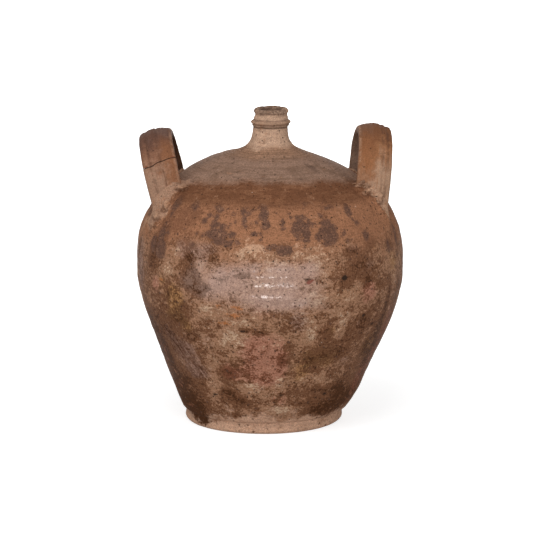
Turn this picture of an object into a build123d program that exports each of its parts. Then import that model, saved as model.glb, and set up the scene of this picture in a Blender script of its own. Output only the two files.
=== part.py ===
from build123d import *

import os
from itertools import pairwise
from math import cos, radians, sin
from typing import NamedTuple

# A hand-built clay storage jar: a flat foot, a swelling belly, a domed shoulder,
# a narrow collared neck and two upright strap handles that stand on the shoulder.
# Millimetres, +Z up. The origin is the middle of the base, and the handles lie
# on the X axis. Heights are rises, each from the level below it.

# Foot and floor
FOOT_RADIUS = 95.5
FOOT_HEIGHT = 13.0
FOOT_EDGE = 4.0
FOOT_LEAN = 32.0
FOOT_WIDTH = 11.5
FLOOR_THICKNESS = 11.0
FLOOR_BEVEL = 4.0

# Wall, from the foot up to the belly and in again to the shoulder
WALL = 9.0
FLANK_RADIUS = 124.2
FLANK_RISE = 57.0
FLANK_LEAN = 21.8
BELLY_RADIUS = 160.0
BELLY_RISE = 120.0
SHOULDER_RADIUS = 141.0
SHOULDER_RISE = 72.5
SHOULDER_LEAN = -30.0
SEAM_BEVEL = 5.0

# Dome that closes the shoulder
DOME_RADIUS = 100.0
DOME_EDGE_RISE = 35.5
DOME_EDGE_LEAN = -55.0
NECK_SEAT_RADIUS = 42.0
DOME_RISE = 25.3
NECK_SEAT_LEAN = -71.0

# Neck, its collar and its lip
NECK_RADIUS = 20.6
NECK_ROOT_RISE = 21.7
NECK_LENGTH = 19.5
MOUTH_RADIUS = 13.5
MOUTH_EDGE = 2.5
LIP_HEIGHT = 11.5
LIP_RADIUS = 20.9
LIP_WAIST = 19.2
LIP_ROUND = 3.5
COLLAR_RADIUS = 23.8
COLLAR_HEIGHT = 8.0
COLLAR_DROP = 6.0

# Strap handles: an arch of clay strap on two legs
STRAP_WIDTH = 40.0
STRAP_THICKNESS = 13.5
STRAP_CROWN = 5.0
STRAP_EDGE = 3.2
STRAP_OUTER_EDGE = 6.0
GROOVE_RADIUS = 5.0
GROOVE_DEPTH = 1.2
ARCH_RADIUS = 57.0

# Wad of clay pressed round each leg where it meets the shoulder
ROOT_OVERHANG = 7.5
ROOT_REACH = 10.5
ROOT_HEIGHT = 7.0
ROOT_SINK = 6.0

# Old break across the front leg of the left handle
BREAK_ANGLE = 25.0
BREAK_SKEW = 9.0


class Station(NamedTuple):
    """A place on the jar's profile; lean is the wall's angle from upright."""

    radius: float
    height: float
    lean: float


class Handle(NamedTuple):
    """One handle's own stance; side is -1 for left and 1 for right."""

    side: int
    inset: float
    arch_rise: float
    lean: float
    turn: float
    grooves: tuple


LEFT_HANDLE = Handle(side=-1, inset=15.3, arch_rise=33.5, lean=13.0, turn=0.0, grooves=(-10.0, 3.0))
RIGHT_HANDLE = Handle(side=1, inset=22.8, arch_rise=38.3, lean=5.5, turn=3.7, grooves=(-13.0, 11.5))

# Levels worked out from the rises
FLANK_HEIGHT = FOOT_HEIGHT + FLANK_RISE
BELLY_HEIGHT = FLANK_HEIGHT + BELLY_RISE
SHOULDER_HEIGHT = BELLY_HEIGHT + SHOULDER_RISE
DOME_HEIGHT = SHOULDER_HEIGHT + DOME_EDGE_RISE
NECK_SEAT_HEIGHT = DOME_HEIGHT + DOME_RISE
NECK_HEIGHT = NECK_SEAT_HEIGHT + NECK_ROOT_RISE
LIP_START = NECK_HEIGHT + NECK_LENGTH
JAR_HEIGHT = LIP_START + LIP_HEIGHT

# Stations up the outside of the jar
TOE = Station(FOOT_RADIUS, FOOT_HEIGHT, FOOT_LEAN)
FLANK = Station(FLANK_RADIUS, FLANK_HEIGHT, FLANK_LEAN)
BELLY = Station(BELLY_RADIUS, BELLY_HEIGHT, 0.0)
SHOULDER = Station(SHOULDER_RADIUS, SHOULDER_HEIGHT, SHOULDER_LEAN)
DOME_EDGE = Station(DOME_RADIUS, DOME_HEIGHT, DOME_EDGE_LEAN)
NECK_SEAT = Station(NECK_SEAT_RADIUS, NECK_SEAT_HEIGHT, NECK_SEAT_LEAN)
NECK_START = Station(NECK_RADIUS, NECK_HEIGHT, 0.0)
NECK_END = Station(NECK_RADIUS, LIP_START, 0.0)


def place(radius, height):
    """A point of the half section, which lies in the XZ plane."""
    return Vector(radius, 0, height)


def along(station):
    """Unit direction up the wall at a station."""
    lean = radians(station.lean)
    return Vector(sin(lean), 0, cos(lean))


def point(station):
    return place(station.radius, station.height)


def inside(station, lift=0.0):
    """The station's partner on the inner face, moved up the wall by lift."""
    lean = radians(station.lean)
    radius = station.radius - WALL * cos(lean) + lift * sin(lean)
    height = station.height + WALL * sin(lean) + lift * cos(lean)
    return Station(radius, height, station.lean)


def wall_curve(*stations):
    """Smooth edges through the stations, following each one's lean."""
    return [
        Spline(point(low), point(high), tangents=(along(low), along(high)))
        for low, high in pairwise(stations)
    ]


def turned(edges):
    """Revolve the closed half section about the jar's axis."""
    return revolve(make_face(edges), axis=Axis.Z)


# Outer outlines that two or more pieces share
FOOT_FLAT = FOOT_RADIUS - FOOT_EDGE
FLOOR_RADIUS = FOOT_RADIUS - FOOT_WIDTH
LIP_TOP_RADIUS = LIP_RADIUS - LIP_ROUND
LIP_SIDE_HEIGHT = JAR_HEIGHT - LIP_ROUND
WAIST_HEIGHT = (LIP_START + LIP_SIDE_HEIGHT) / 2
WAIST = Station(LIP_WAIST, WAIST_HEIGHT, 0.0)
LIP_SIDE = Station(LIP_RADIUS, LIP_SIDE_HEIGHT, 0.0)


def foot_outline():
    """Rounded outer edge of the foot, from the ground up to the toe."""
    edge_start = place(FOOT_FLAT, 0)
    edge_end = place(FOOT_RADIUS, FOOT_EDGE)
    return [
        Spline(edge_start, edge_end, tangents=((1, 0, 0), (0, 0, 1))),
        Line(edge_end, point(TOE)),
    ]


def lip_outline():
    """Outside of the lip, from the straight neck over its rounded edge."""
    lip_top = place(LIP_TOP_RADIUS, JAR_HEIGHT)
    return wall_curve(NECK_END, WAIST, LIP_SIDE) + [
        Spline(point(LIP_SIDE), lip_top, tangents=((0, 0, 1), (-1, 0, 0))),
    ]


def floor_disc():
    rim = FLOOR_RADIUS - FLOOR_BEVEL
    return turned(Polyline(
        place(0, 0), place(FLOOR_RADIUS, 0), place(rim, FLOOR_THICKNESS), place(0, FLOOR_THICKNESS),
        close=True,
    ))


def foot_band():
    """Ring that stands round the floor disc and carries the wall."""
    disc_edge = place(FLOOR_RADIUS, 0)
    disc_rim = place(FLOOR_RADIUS - FLOOR_BEVEL, FLOOR_THICKNESS)
    top = inside(TOE)
    return turned([
        Line(disc_edge, place(FOOT_FLAT, 0)),
        *foot_outline(),
        Line(point(TOE), point(top)),
        Spline(disc_rim, point(top), tangents=((1, 0, 0), along(top))),
        Line(disc_rim, disc_edge),
    ])


def lower_wall():
    """Flaring wall from the foot to the bevelled seam at the belly."""
    top = inside(BELLY, SEAM_BEVEL)
    return turned([
        *wall_curve(TOE, FLANK, BELLY),
        Line(point(BELLY), point(top)),
        *wall_curve(inside(TOE), inside(FLANK), top),
        Line(point(inside(TOE)), point(TOE)),
    ])


def upper_wall():
    """Wall that closes in from the belly seam to the hole for the dome."""
    seam = inside(BELLY, SEAM_BEVEL)
    return turned([
        *wall_curve(BELLY, SHOULDER, DOME_EDGE),
        Line(point(DOME_EDGE), point(inside(DOME_EDGE))),
        *wall_curve(seam, inside(SHOULDER), inside(DOME_EDGE)),
        Line(point(seam), point(BELLY)),
    ])


def shoulder_dome():
    """Dome that drops into the upper wall and has the seat for the neck."""
    return turned([
        *wall_curve(DOME_EDGE, NECK_SEAT),
        Line(point(NECK_SEAT), point(inside(NECK_SEAT))),
        *wall_curve(inside(DOME_EDGE), inside(NECK_SEAT)),
        Line(point(inside(DOME_EDGE)), point(DOME_EDGE)),
    ])


def neck():
    """Spreading root, straight neck with its bore, and the rolled lip."""
    bore_start = Station(MOUTH_RADIUS, NECK_HEIGHT, 0.0)
    bore_end = place(MOUTH_RADIUS, JAR_HEIGHT - MOUTH_EDGE)
    mouth_edge = place(MOUTH_RADIUS + MOUTH_EDGE, JAR_HEIGHT)
    return turned([
        *wall_curve(NECK_SEAT, NECK_START),
        Line(point(NECK_START), point(NECK_END)),
        *lip_outline(),
        Line(place(LIP_TOP_RADIUS, JAR_HEIGHT), mouth_edge),
        Spline(mouth_edge, bore_end, tangents=((-1, 0, 0), (0, 0, -1))),
        Line(bore_end, point(bore_start)),
        *wall_curve(inside(NECK_SEAT), bore_start),
        Line(point(inside(NECK_SEAT)), point(NECK_SEAT)),
    ])


def neck_collar():
    """Bead of clay laid round the neck below the lip."""
    middle = LIP_START - COLLAR_DROP
    bottom = place(NECK_RADIUS, middle - COLLAR_HEIGHT / 2)
    top = place(NECK_RADIUS, middle + COLLAR_HEIGHT / 2)
    return turned([
        ThreePointArc(bottom, place(COLLAR_RADIUS, middle), top),
        Line(top, bottom),
    ])


def jar_envelope():
    """The jar's outside as one filled solid, which the handle feet fit."""
    axis_top = place(0, JAR_HEIGHT)
    return turned([
        Line(place(0, 0), place(FOOT_FLAT, 0)),
        *foot_outline(),
        *wall_curve(TOE, FLANK, BELLY, SHOULDER, DOME_EDGE, NECK_SEAT, NECK_START),
        Line(point(NECK_START), point(NECK_END)),
        *lip_outline(),
        Line(place(LIP_TOP_RADIUS, JAR_HEIGHT), axis_top),
        Line(axis_top, place(0, 0)),
    ])


def strap_section(handle):
    """Strap cut across, at the arch's front spring line: crowned in front, flat behind."""
    half = STRAP_WIDTH / 2
    front = -ARCH_RADIUS
    shoulder = front + STRAP_CROWN
    back = front + STRAP_THICKNESS
    outline = make_face([
        ThreePointArc((-half, shoulder), (0, front), (half, shoulder)),
        Line((half, shoulder), (half, back)),
        Line((half, back), (-half, back)),
        Line((-half, back), (-half, shoulder)),
    ])

    def outward(corner):
        return corner.X * handle.side - corner.Y

    *plain_corners, _ = sorted(outline.vertices(), key=outward)
    strap = fillet(plain_corners, STRAP_EDGE)
    strap = fillet(max(strap.vertices(), key=outward), STRAP_OUTER_EDGE)
    for across in handle.grooves:
        crown_here = STRAP_CROWN * (across / half) ** 2
        bottom = front + crown_here + GROOVE_DEPTH
        strap -= Pos(across, bottom - GROOVE_RADIUS) * Circle(GROOVE_RADIUS)
    return strap


def stance(handle):
    """Where a handle's arch stands: its centre, outward lean and turn."""
    reach = SHOULDER_RADIUS - handle.inset
    centre = Pos(handle.side * reach, 0, SHOULDER_HEIGHT + handle.arch_rise)
    return centre * Rot(0, 0, handle.turn) * Rot(0, handle.side * handle.lean, 0)


def leg_length(handle):
    """Enough leg to run on down inside the jar, as far as the belly."""
    return SHOULDER_RISE + handle.arch_rise


def whole_strap(handle):
    """Arch and both legs, still running on down inside the jar."""
    front_section = strap_section(handle)
    back_section = mirror(front_section, about=Plane.XZ)
    arch = revolve(front_section, axis=Axis.X, revolution_arc=-180)
    front_leg = extrude(front_section, -leg_length(handle))
    back_leg = extrude(back_section, leg_length(handle), dir=(0, 0, -1))
    return stance(handle) * (arch + front_leg + back_leg)


def below_break(handle):
    """Block that holds what lies under the old break in the front leg."""
    reach = 2 * (ARCH_RADIUS + leg_length(handle))
    clear_of_back_leg = ARCH_RADIUS / 4
    block = Pos(0, -reach / 2 - clear_of_back_leg, -reach / 2) * Box(reach, reach, reach)
    tilt = Rot(-BREAK_ANGLE, 0, 0) * Rot(0, handle.side * BREAK_SKEW, 0)
    return stance(handle) * tilt * block


def root_wad(handle, front, jar, strap):
    """Clay pressed round one leg: a low mound that fits the jar and the strap."""
    leg_depth = ARCH_RADIUS - STRAP_THICKNESS / 2
    leg = Axis((0, front * leg_depth, 0), (0, 0, -1)).located(stance(handle))
    foot, outward = jar.shell().find_intersection_points(leg)[0]

    def on_slope(axis):
        """How far one millimetre of the leg's section reaches on the jar's slope."""
        direction = axis.located(stance(handle)).direction
        return direction - leg.direction * (direction.dot(outward) / leg.direction.dot(outward))

    width = on_slope(Axis.X) * (STRAP_WIDTH / 2)
    depth = on_slope(Axis.Y) * (STRAP_THICKNESS / 2)
    seat = Plane(origin=foot, x_dir=width, z_dir=outward)
    half_width = width.length + abs(depth.dot(seat.x_dir)) + ROOT_OVERHANG
    half_depth = abs(depth.dot(seat.y_dir)) + ROOT_REACH
    mound = scale(Sphere(1), by=(half_width, half_depth, ROOT_HEIGHT + ROOT_SINK))
    return seat * Pos(0, 0, -ROOT_SINK) * mound - jar - strap


def main():
    jar = jar_envelope()
    left_strap = whole_strap(LEFT_HANDLE)
    right_strap = whole_strap(RIGHT_HANDLE)
    left_strap_above = left_strap - jar
    under_break = below_break(LEFT_HANDLE)

    pieces = {
        "floor_disc": floor_disc(),
        "foot_band": foot_band(),
        "lower_wall": lower_wall(),
        "upper_wall": upper_wall(),
        "shoulder_dome": shoulder_dome(),
        "neck": neck(),
        "neck_collar": neck_collar(),
        "left_handle_arch": left_strap_above - under_break,
        "left_handle_stub": left_strap_above & under_break,
        "right_handle": right_strap - jar,
        "left_front_root": root_wad(LEFT_HANDLE, -1, jar, left_strap),
        "left_back_root": root_wad(LEFT_HANDLE, 1, jar, left_strap),
        "right_front_root": root_wad(RIGHT_HANDLE, -1, jar, right_strap),
        "right_back_root": root_wad(RIGHT_HANDLE, 1, jar, right_strap),
    }

    os.makedirs("parts", exist_ok=True)
    for name, solid in pieces.items():
        export_step(solid, f"parts/{name}.step")


main()
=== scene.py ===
from itertools import pairwise, product
from math import cos, pi, radians, sin
from typing import NamedTuple

import bmesh
import bpy
import numpy as np
from mathutils import Euler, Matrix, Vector


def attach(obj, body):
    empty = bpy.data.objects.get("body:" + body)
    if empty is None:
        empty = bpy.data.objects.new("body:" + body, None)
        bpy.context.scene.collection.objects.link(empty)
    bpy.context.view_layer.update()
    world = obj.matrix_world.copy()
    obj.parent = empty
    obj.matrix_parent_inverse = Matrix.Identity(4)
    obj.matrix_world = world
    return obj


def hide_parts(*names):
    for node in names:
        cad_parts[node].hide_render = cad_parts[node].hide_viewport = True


# The looks of a hand-built clay storage jar. Shapes are worked out in millimetres,
# in the part's own frame, and turned into metres when a mesh is made.

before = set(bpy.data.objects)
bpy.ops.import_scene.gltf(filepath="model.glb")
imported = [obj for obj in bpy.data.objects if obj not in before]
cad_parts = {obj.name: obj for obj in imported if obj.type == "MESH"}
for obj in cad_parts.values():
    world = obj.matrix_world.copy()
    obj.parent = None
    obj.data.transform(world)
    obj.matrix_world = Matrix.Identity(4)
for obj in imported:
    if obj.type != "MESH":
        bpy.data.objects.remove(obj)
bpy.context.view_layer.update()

MM = 0.001


# Profile of the jar, as stations up its outside


class Station(NamedTuple):
    """A place on the profile; lean is the wall's angle from upright, in degrees."""

    radius: float
    height: float
    lean: float


WALL = 9.0
FOOT_FLAT = 91.5
FOOT_EDGE = 4.0
FLOOR_RADIUS = 84.0
FLOOR_BEVEL = 4.0
FLOOR_THICKNESS = 11.0
FLOOR_EYE = 2.0
SEAM_BEVEL = 5.0
FOOT_START = Station(FOOT_FLAT, 0.0, 90.0)
FOOT_SIDE = Station(95.5, FOOT_EDGE, 0.0)
FOOT_TOP = Station(95.5, 13.0, 0.0)
TOE = Station(95.5, 13.0, 32.0)
FLANK = Station(124.2, 70.0, 21.8)
BELLY = Station(160.0, 190.0, 0.0)
SHOULDER = Station(141.0, 262.5, -30.0)
DOME_EDGE = Station(100.0, 298.0, -55.0)
NECK_SEAT = Station(42.0, 323.3, -71.0)
NECK_START = Station(20.6, 345.0, 0.0)
NECK_END = Station(20.6, 364.5, 0.0)
LIP_WAIST = Station(19.2, 368.5, 0.0)
LIP_SIDE = Station(20.9, 372.5, 0.0)
LIP_TOP = Station(17.4, 376.0, -90.0)
MOUTH_EDGE = Station(16.0, 376.0, -90.0)
BORE_TOP = Station(13.5, 373.5, -180.0)
BORE_START = Station(13.5, 345.0, 0.0)
COLLAR_RADIUS = 23.8
COLLAR_BOTTOM = 354.5
COLLAR_TOP = 362.5
COLLAR_SINK = 1.0

AROUND = 512
WALL_ROW = 2.0
DOME_ROW = 1.4
NECK_ROW = 0.8
INNER_ROW = 8.0
COLLAR_ROWS = 29


def smooth(value, low, high):
    """0 before low, 1 past high, and an easy curve between."""
    part = np.clip((value - low) / (high - low), 0.0, 1.0)
    return part * part * (3.0 - 2.0 * part)


def between(value, start, full, fade, end):
    """1 from full to fade, with an easy curve up from start and one down to end."""
    return smooth(value, start, full) * (1.0 - smooth(value, fade, end))


def grain(points, size, seed):
    """Smooth random field from -1 to 1, with lumps of a size, or of one size per axis."""
    lattice = points / np.array(size) + seed * np.array((17.3, 9.1, 5.7))
    cell = np.floor(lattice).astype(np.int64)
    ease = lattice - cell
    ease = ease * ease * (3.0 - 2.0 * ease)
    total = np.zeros(len(points))
    for corner in product((0, 1), repeat=3):
        key = (cell + np.array(corner)) @ np.array((374761393, 668265263, 974634777))
        key = (key ^ (key >> 13)) * 1274126177
        key = key ^ (key >> 16)
        share = np.prod(np.where(corner, ease, 1.0 - ease), axis=1)
        total += share * ((key & 0xFFFF) / 32767.5 - 1.0)
    return total


def along(station):
    lean = radians(station.lean)
    return np.array((sin(lean), cos(lean)))


def inside(station, lift=0.0):
    """The station's partner on the inner face, moved up the wall by lift."""
    up = along(station)
    radius = station.radius - WALL * up[1] + lift * up[0]
    height = station.height + WALL * up[0] + lift * up[1]
    return Station(radius, height, station.lean)


def run(low, high, spacing):
    """Rows from one station to the next: radius, height and the outward normal's two parts."""
    start = np.array((low.radius, low.height))
    end = np.array((high.radius, high.height))
    chord = np.linalg.norm(end - start)
    leave = along(low) * chord
    arrive = along(high) * chord
    count = max(2, round(chord / spacing) + 1)
    t = np.linspace(0.0, 1.0, count)[:, None]
    place = (
        (2 * t**3 - 3 * t**2 + 1) * start
        + (t**3 - 2 * t**2 + t) * leave
        + (3 * t**2 - 2 * t**3) * end
        + (t**3 - t**2) * arrive
    )
    slope = (
        (6 * t**2 - 6 * t) * start
        + (3 * t**2 - 4 * t + 1) * leave
        + (6 * t - 6 * t**2) * end
        + (3 * t**2 - 2 * t) * arrive
    )
    slope /= np.linalg.norm(slope, axis=1, keepdims=True)
    return np.column_stack((place, slope[:, 1], -slope[:, 0]))


def outline(*stations, spacing):
    """Rows up through several stations, each written once."""
    runs = [run(low, high, spacing) for low, high in pairwise(stations)]
    return np.vstack([runs[0]] + [later[1:] for later in runs[1:]])


# The jar's outside above the belly, which the feet of the handles stand on
SHOULDER_LINE = outline(BELLY, SHOULDER, DOME_EDGE, NECK_SEAT, spacing=1.0)


def shoulder_height(radius):
    """Height of the jar's outside above the belly, at a radius."""
    return np.interp(radius, SHOULDER_LINE[::-1, 0], SHOULDER_LINE[::-1, 1])


# What the hand and the kiln did to the thrown shape

# Sideways sag: of the foot, of the flank above it, and of the neck, each fading between two heights
FOOT_SHIFT = -4.1
FOOT_SHIFT_FADE = (2.0, 45.0)
FLANK_SHIFT = -3.2
FLANK_SHIFT_FADE = (48.0, 132.0)
NECK_LEAN = 1.4
NECK_LEAN_RISE = (335.0, 375.0)
# The dome stands higher on its left
DOME_LIFT = 4.0
DOME_LIFT_RISE = (0.0, 75.0)
# Unevenness of the whole surface: how proud, and the size of its lumps
DENTS = 0.55
DENT_SIZE = 60.0
THROWING_RINGS = 0.30
RING_SIZE = (150.0, 150.0, 6.5)
FINE_RINGS = 0.10
FINE_RING_SIZE = (90.0, 90.0, 2.6)
PEBBLES = 0.10
PEBBLE_SIZE = 9.0
GLAZE_RIPPLES = 0.07
GLAZE_RIPPLE_SIZE = 5.0
# Rings pressed into the dome round the neck's root
ROOT_RINGS = 0.45
ROOT_RING_SPACING = 5.5
TOE_FULLNESS = 1.8


class Swell(NamedTuple):
    """A soft swelling round the wall at a height, or a hollow where proud is below 0."""

    height: float
    half: float
    proud: float

    def at(self, z):
        """How far the wall stands out at a height."""
        return self.proud * np.exp(-(((z - self.height) / self.half) ** 2))


NECK_ROOT_SWELL = Swell(342.0, 6.5, 1.2)
FOOT_HOLLOW = Swell(8.0, 6.0, -1.0)
SHOULDER_SWELL = Swell(234.0, 20.0, 2.3)
SIDE_FLAT = Swell(189.0, 9.0, -0.9)
BELLY_RIDGES = (
    Swell(168.0, 3.4, 0.4), Swell(175.0, 3.4, 0.8), Swell(189.0, 3.4, 0.6), Swell(201.0, 3.4, 0.4),
)
CREASE_LINE = Swell(157.0, 1.6, -0.5)


class Chip(NamedTuple):
    """A bite out of the lip: where, how wide in degrees, how deep."""

    azimuth: float
    width: float
    depth: float


LIP_CHIPS = (
    Chip(-48.0, 14.0, 0.7), Chip(-18.0, 12.0, 1.3), Chip(14.0, 16.0, 1.6), Chip(46.0, 13.0, 0.8),
    Chip(140.0, 20.0, 0.5), Chip(205.0, 16.0, 0.6),
)
LIP_TILT = 1.3
LIP_CRUMBLE = 0.18
LIP_CRUMB_SIZE = 2.6


def around_gap(azimuth, middle):
    """Degrees from an azimuth to the middle of a mark, the short way round."""
    return (azimuth - middle + 180.0) % 360.0 - 180.0


def thrown_push(points):
    """How far throwing, pressing and drying pushed each point out from the plain turned wall."""
    x, y, z = points.T
    azimuth = np.arctan2(x, -y)
    radius = np.hypot(x, y)
    up_wall = z + np.maximum(0.0, 150.0 - radius) * smooth(z, 200.0, 260.0)
    ring_place = np.column_stack((120.0 * np.sin(azimuth), 120.0 * np.cos(azimuth), up_wall))
    rings = grain(ring_place, RING_SIZE, 3)
    on_neck = smooth(z, 338.0, 348.0)
    push = DENTS * grain(points, DENT_SIZE, 1) * (1.0 - on_neck)
    push += THROWING_RINGS * rings * (1.0 - 0.6 * on_neck)
    push += FINE_RINGS * grain(ring_place, FINE_RING_SIZE, 5)
    push += PEBBLES * grain(points, PEBBLE_SIZE, 7)

    push += NECK_ROOT_SWELL.at(z) * between(radius, 17.0, 19.0, 26.0, 34.0)
    on_root = between(radius, 24.0, 34.0, 52.0, 64.0) * smooth(z, 300.0, 315.0)
    push += ROOT_RINGS * on_root * np.sin(up_wall * 2.0 * pi / ROOT_RING_SPACING + 0.4 * rings)
    push += TOE_FULLNESS * between(z, 13.0, 18.0, 25.0, 65.0)
    push += FOOT_HOLLOW.at(z)
    push += SHOULDER_SWELL.at(z) * (0.35 + 0.65 * smooth(-x, -20.0, 60.0))

    facing = np.abs(y) / np.maximum(radius, 1.0)
    push += SIDE_FLAT.at(z) * (1.0 - facing)
    on_belly = smooth(radius, 140.0, 150.0) * between(z, 140.0, 160.0, 215.0, 230.0)
    on_belly *= 0.25 + 0.75 * facing
    push += GLAZE_RIPPLES * grain(points, GLAZE_RIPPLE_SIZE, 13) * on_belly
    for ridge in BELLY_RIDGES:
        push += ridge.at(z - 1.5 * rings) * on_belly
    push += CREASE_LINE.at(z - 2.0 * rings) * smooth(grain(points, 70.0, 9), -0.5, 0.4)
    return push


def lip_wear(points):
    """How far the lip is worn down at each point, by its chips, its crumbling and its tilt."""
    x, y, _ = points.T
    azimuth = np.degrees(np.arctan2(x, -y))
    wear = np.zeros(len(points))
    for chip in LIP_CHIPS:
        across = around_gap(azimuth, chip.azimuth) / chip.width
        wear = np.maximum(wear, chip.depth * np.exp(-(across ** 2)))
    wear += LIP_CRUMBLE * (1.0 + grain(points, LIP_CRUMB_SIZE, 11))
    return wear - LIP_TILT * y / LIP_SIDE.radius


def hand_shape(points, normals):
    """Move the thrown surface as the potter's hands, the drying and the wear did."""
    x, y, z = points.T
    radius = np.hypot(x, y)
    at_lip = smooth(z, 370.5, 375.0) * smooth(radius, 13.6, 15.5)
    moved = points + normals * (thrown_push(points) * (1.0 - at_lip))[:, None]
    moved[:, 2] -= lip_wear(points) * at_lip
    moved[:, 0] += FOOT_SHIFT * (1.0 - smooth(z, *FOOT_SHIFT_FADE))
    moved[:, 0] += FLANK_SHIFT * (1.0 - smooth(z, *FLANK_SHIFT_FADE))
    moved[:, 0] += NECK_LEAN * smooth(z, *NECK_LEAN_RISE)
    on_dome = smooth(z, 272.0, 300.0) * smooth(radius, 24.0, 60.0)
    moved[:, 2] += DOME_LIFT * on_dome * smooth(-x, *DOME_LIFT_RISE)
    moved[:, 2] = np.where(z < 0.5, np.maximum(moved[:, 2], 0.0), moved[:, 2])
    return moved


def turn(rows):
    """Rows swept round the axis: points and normals, row after row, from the front to the right."""
    azimuth = np.linspace(0.0, 2.0 * pi, AROUND, endpoint=False)
    east = np.sin(azimuth)
    north = -np.cos(azimuth)
    level = np.ones(AROUND)
    points = np.stack([np.column_stack((r * east, r * north, z * level)) for r, z, _, _ in rows])
    normals = np.stack([np.column_stack((a * east, a * north, b * level)) for _, _, a, b in rows])
    return points.reshape(-1, 3), normals.reshape(-1, 3)


def sheet_faces(rows, columns, close_rows):
    """Quads of a grid that closes round its columns, and round its rows too if asked."""
    row = np.arange(rows if close_rows else rows - 1)[:, None]
    column = np.arange(columns)
    next_row = (row + 1) % rows
    next_column = (column + 1) % columns
    corners = (
        row * columns + column, row * columns + next_column,
        next_row * columns + next_column, next_row * columns + column,
    )
    return np.stack(corners, axis=-1).reshape(-1, 4).tolist()


def fan(ring, middle):
    """Triangles from a ring of vertices to one middle vertex."""
    return [[ring[i], ring[(i + 1) % len(ring)], middle] for i in range(len(ring))]


# Stains and tones on the jar, placed by azimuth (0 in front, + to the right) and height


class Patch(NamedTuple):
    """A soft oval on the jar: its middle, its half width and half height, its strength."""

    azimuth: float
    height: float
    wide: float
    tall: float
    strength: float = 1.0


def patches(*rows):
    """A table of patches, from plain rows of their values."""
    return tuple(Patch(*row) for row in rows)


def closeness(points, patch):
    """1 in a patch's middle, 0 on its outline, less outside."""
    x, y, z = points.T
    radius = np.hypot(x, y)
    gap = around_gap(np.degrees(np.arctan2(x, -y)), patch.azimuth)
    across = np.radians(gap) * radius / patch.wide
    return 1.0 - np.hypot(across, (z - patch.height) / patch.tall)


def stain_depth(points, stains):
    """Centimetres inside the nearest stain's outline, below 0 outside it."""
    best = np.full(len(points), -2.0)
    for patch in stains:
        depth = closeness(points, patch) * min(patch.wide, patch.tall) / 10.0
        best = np.maximum(best, depth)
    return best


def veil(points, clouds):
    """Soft sum of patches, for tones that fade out slowly."""
    total = np.zeros(len(points))
    for patch in clouds:
        total += patch.strength * np.exp(-((1.0 - closeness(points, patch)) ** 2))
    return np.clip(total, -1.0, 1.5)


# Dark blotches under the band
BLOTCHES = patches(
    (-60, 226, 7, 10), (-54, 222, 10, 12), (-55, 238, 6, 9), (-51, 242, 3, 4), (-41, 274, 6, 5),
    (-35, 232, 4, 3), (-34, 246, 2, 2), (-31, 244, 2, 2), (-32, 261, 4, 3), (-30, 267, 4, 3),
    (-27, 275, 4, 3), (-25, 272, 3, 2), (-26, 265, 3, 5), (-26, 257, 6, 5), (-22, 255, 4, 4),
    (-24, 246, 14, 7), (-22, 240, 12, 5), (-17, 247, 5, 4), (-18, 237, 7, 5), (-19, 256, 2, 3),
    (-18, 270, 3, 2), (-16, 261, 2, 2), (-14, 239, 4, 3), (-13, 273, 4, 4), (-9, 275, 3, 2),
    (-10, 270, 2, 2), (-12, 263, 3, 5), (-11, 257, 3, 3), (-9, 259, 2, 2), (-7, 249, 5, 3),
    (-4, 250, 3, 3), (-4, 243, 2, 3), (-4, 277, 6, 3), (-3, 269, 6, 7), (-2, 259, 5, 7),
    (-6, 262, 3, 3), (0, 233, 6, 3), (2, 235, 7, 3), (6, 231, 11, 6), (8, 230, 4, 5), (6, 261, 3, 4),
    (6, 255, 3, 2), (9, 271, 2, 2), (10, 266, 2, 2), (13, 267, 4, 2), (16, 268, 3, 2), (14, 257, 10, 8),
    (16, 248, 6, 7), (11, 252, 5, 4), (16, 242, 4, 4), (15, 235, 2, 2), (18, 280, 4, 2),
    (20, 259, 4, 2), (25, 267, 2, 4), (27, 259, 8, 5), (29, 252, 7, 6), (29, 244, 7, 7),
    (26, 238, 8, 5), (30, 275, 7, 2), (35, 248, 2, 2), (34, 244, 2, 2), (36, 238, 3, 3),
    (42, 273, 4, 4), (41, 268, 5, 5), (42, 259, 2, 2), (44, 255, 4, 3), (47, 240, 5, 6),
    (62, 223, 4, 8), (72, 227, 3, 8), (73, 236, 3, 7), (24, 250, 5, 6), (22, 244, 5, 4),
    (12, 247, 4, 5), (18, 260, 4, 4), (-55, 274, 7, 8), (-54, 262, 4, 4), (26, 247, 9, 9),
)
BACK_CLUSTERS = 17
CLUSTER_SPOTS = 4


def back_blotches():
    """Blotches for the sides that the photo doesn't show, in clusters of the same sizes."""
    rng = np.random.default_rng(41)
    blotches = []
    for _ in range(BACK_CLUSTERS):
        azimuth = rng.uniform(84.0, 284.0)
        height = rng.uniform(226.0, 272.0)
        wide = rng.uniform(5.0, 12.0)
        blotches.append(Patch(azimuth, height, wide, wide * rng.uniform(0.6, 1.1)))
        for _ in range(CLUSTER_SPOTS):
            spot = (azimuth + rng.normal(0.0, 7.0), height + rng.normal(0.0, 10.0))
            blotches.append(Patch(*spot, *rng.uniform(1.8, 5.0, 2)))
    return tuple(blotches)


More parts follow.
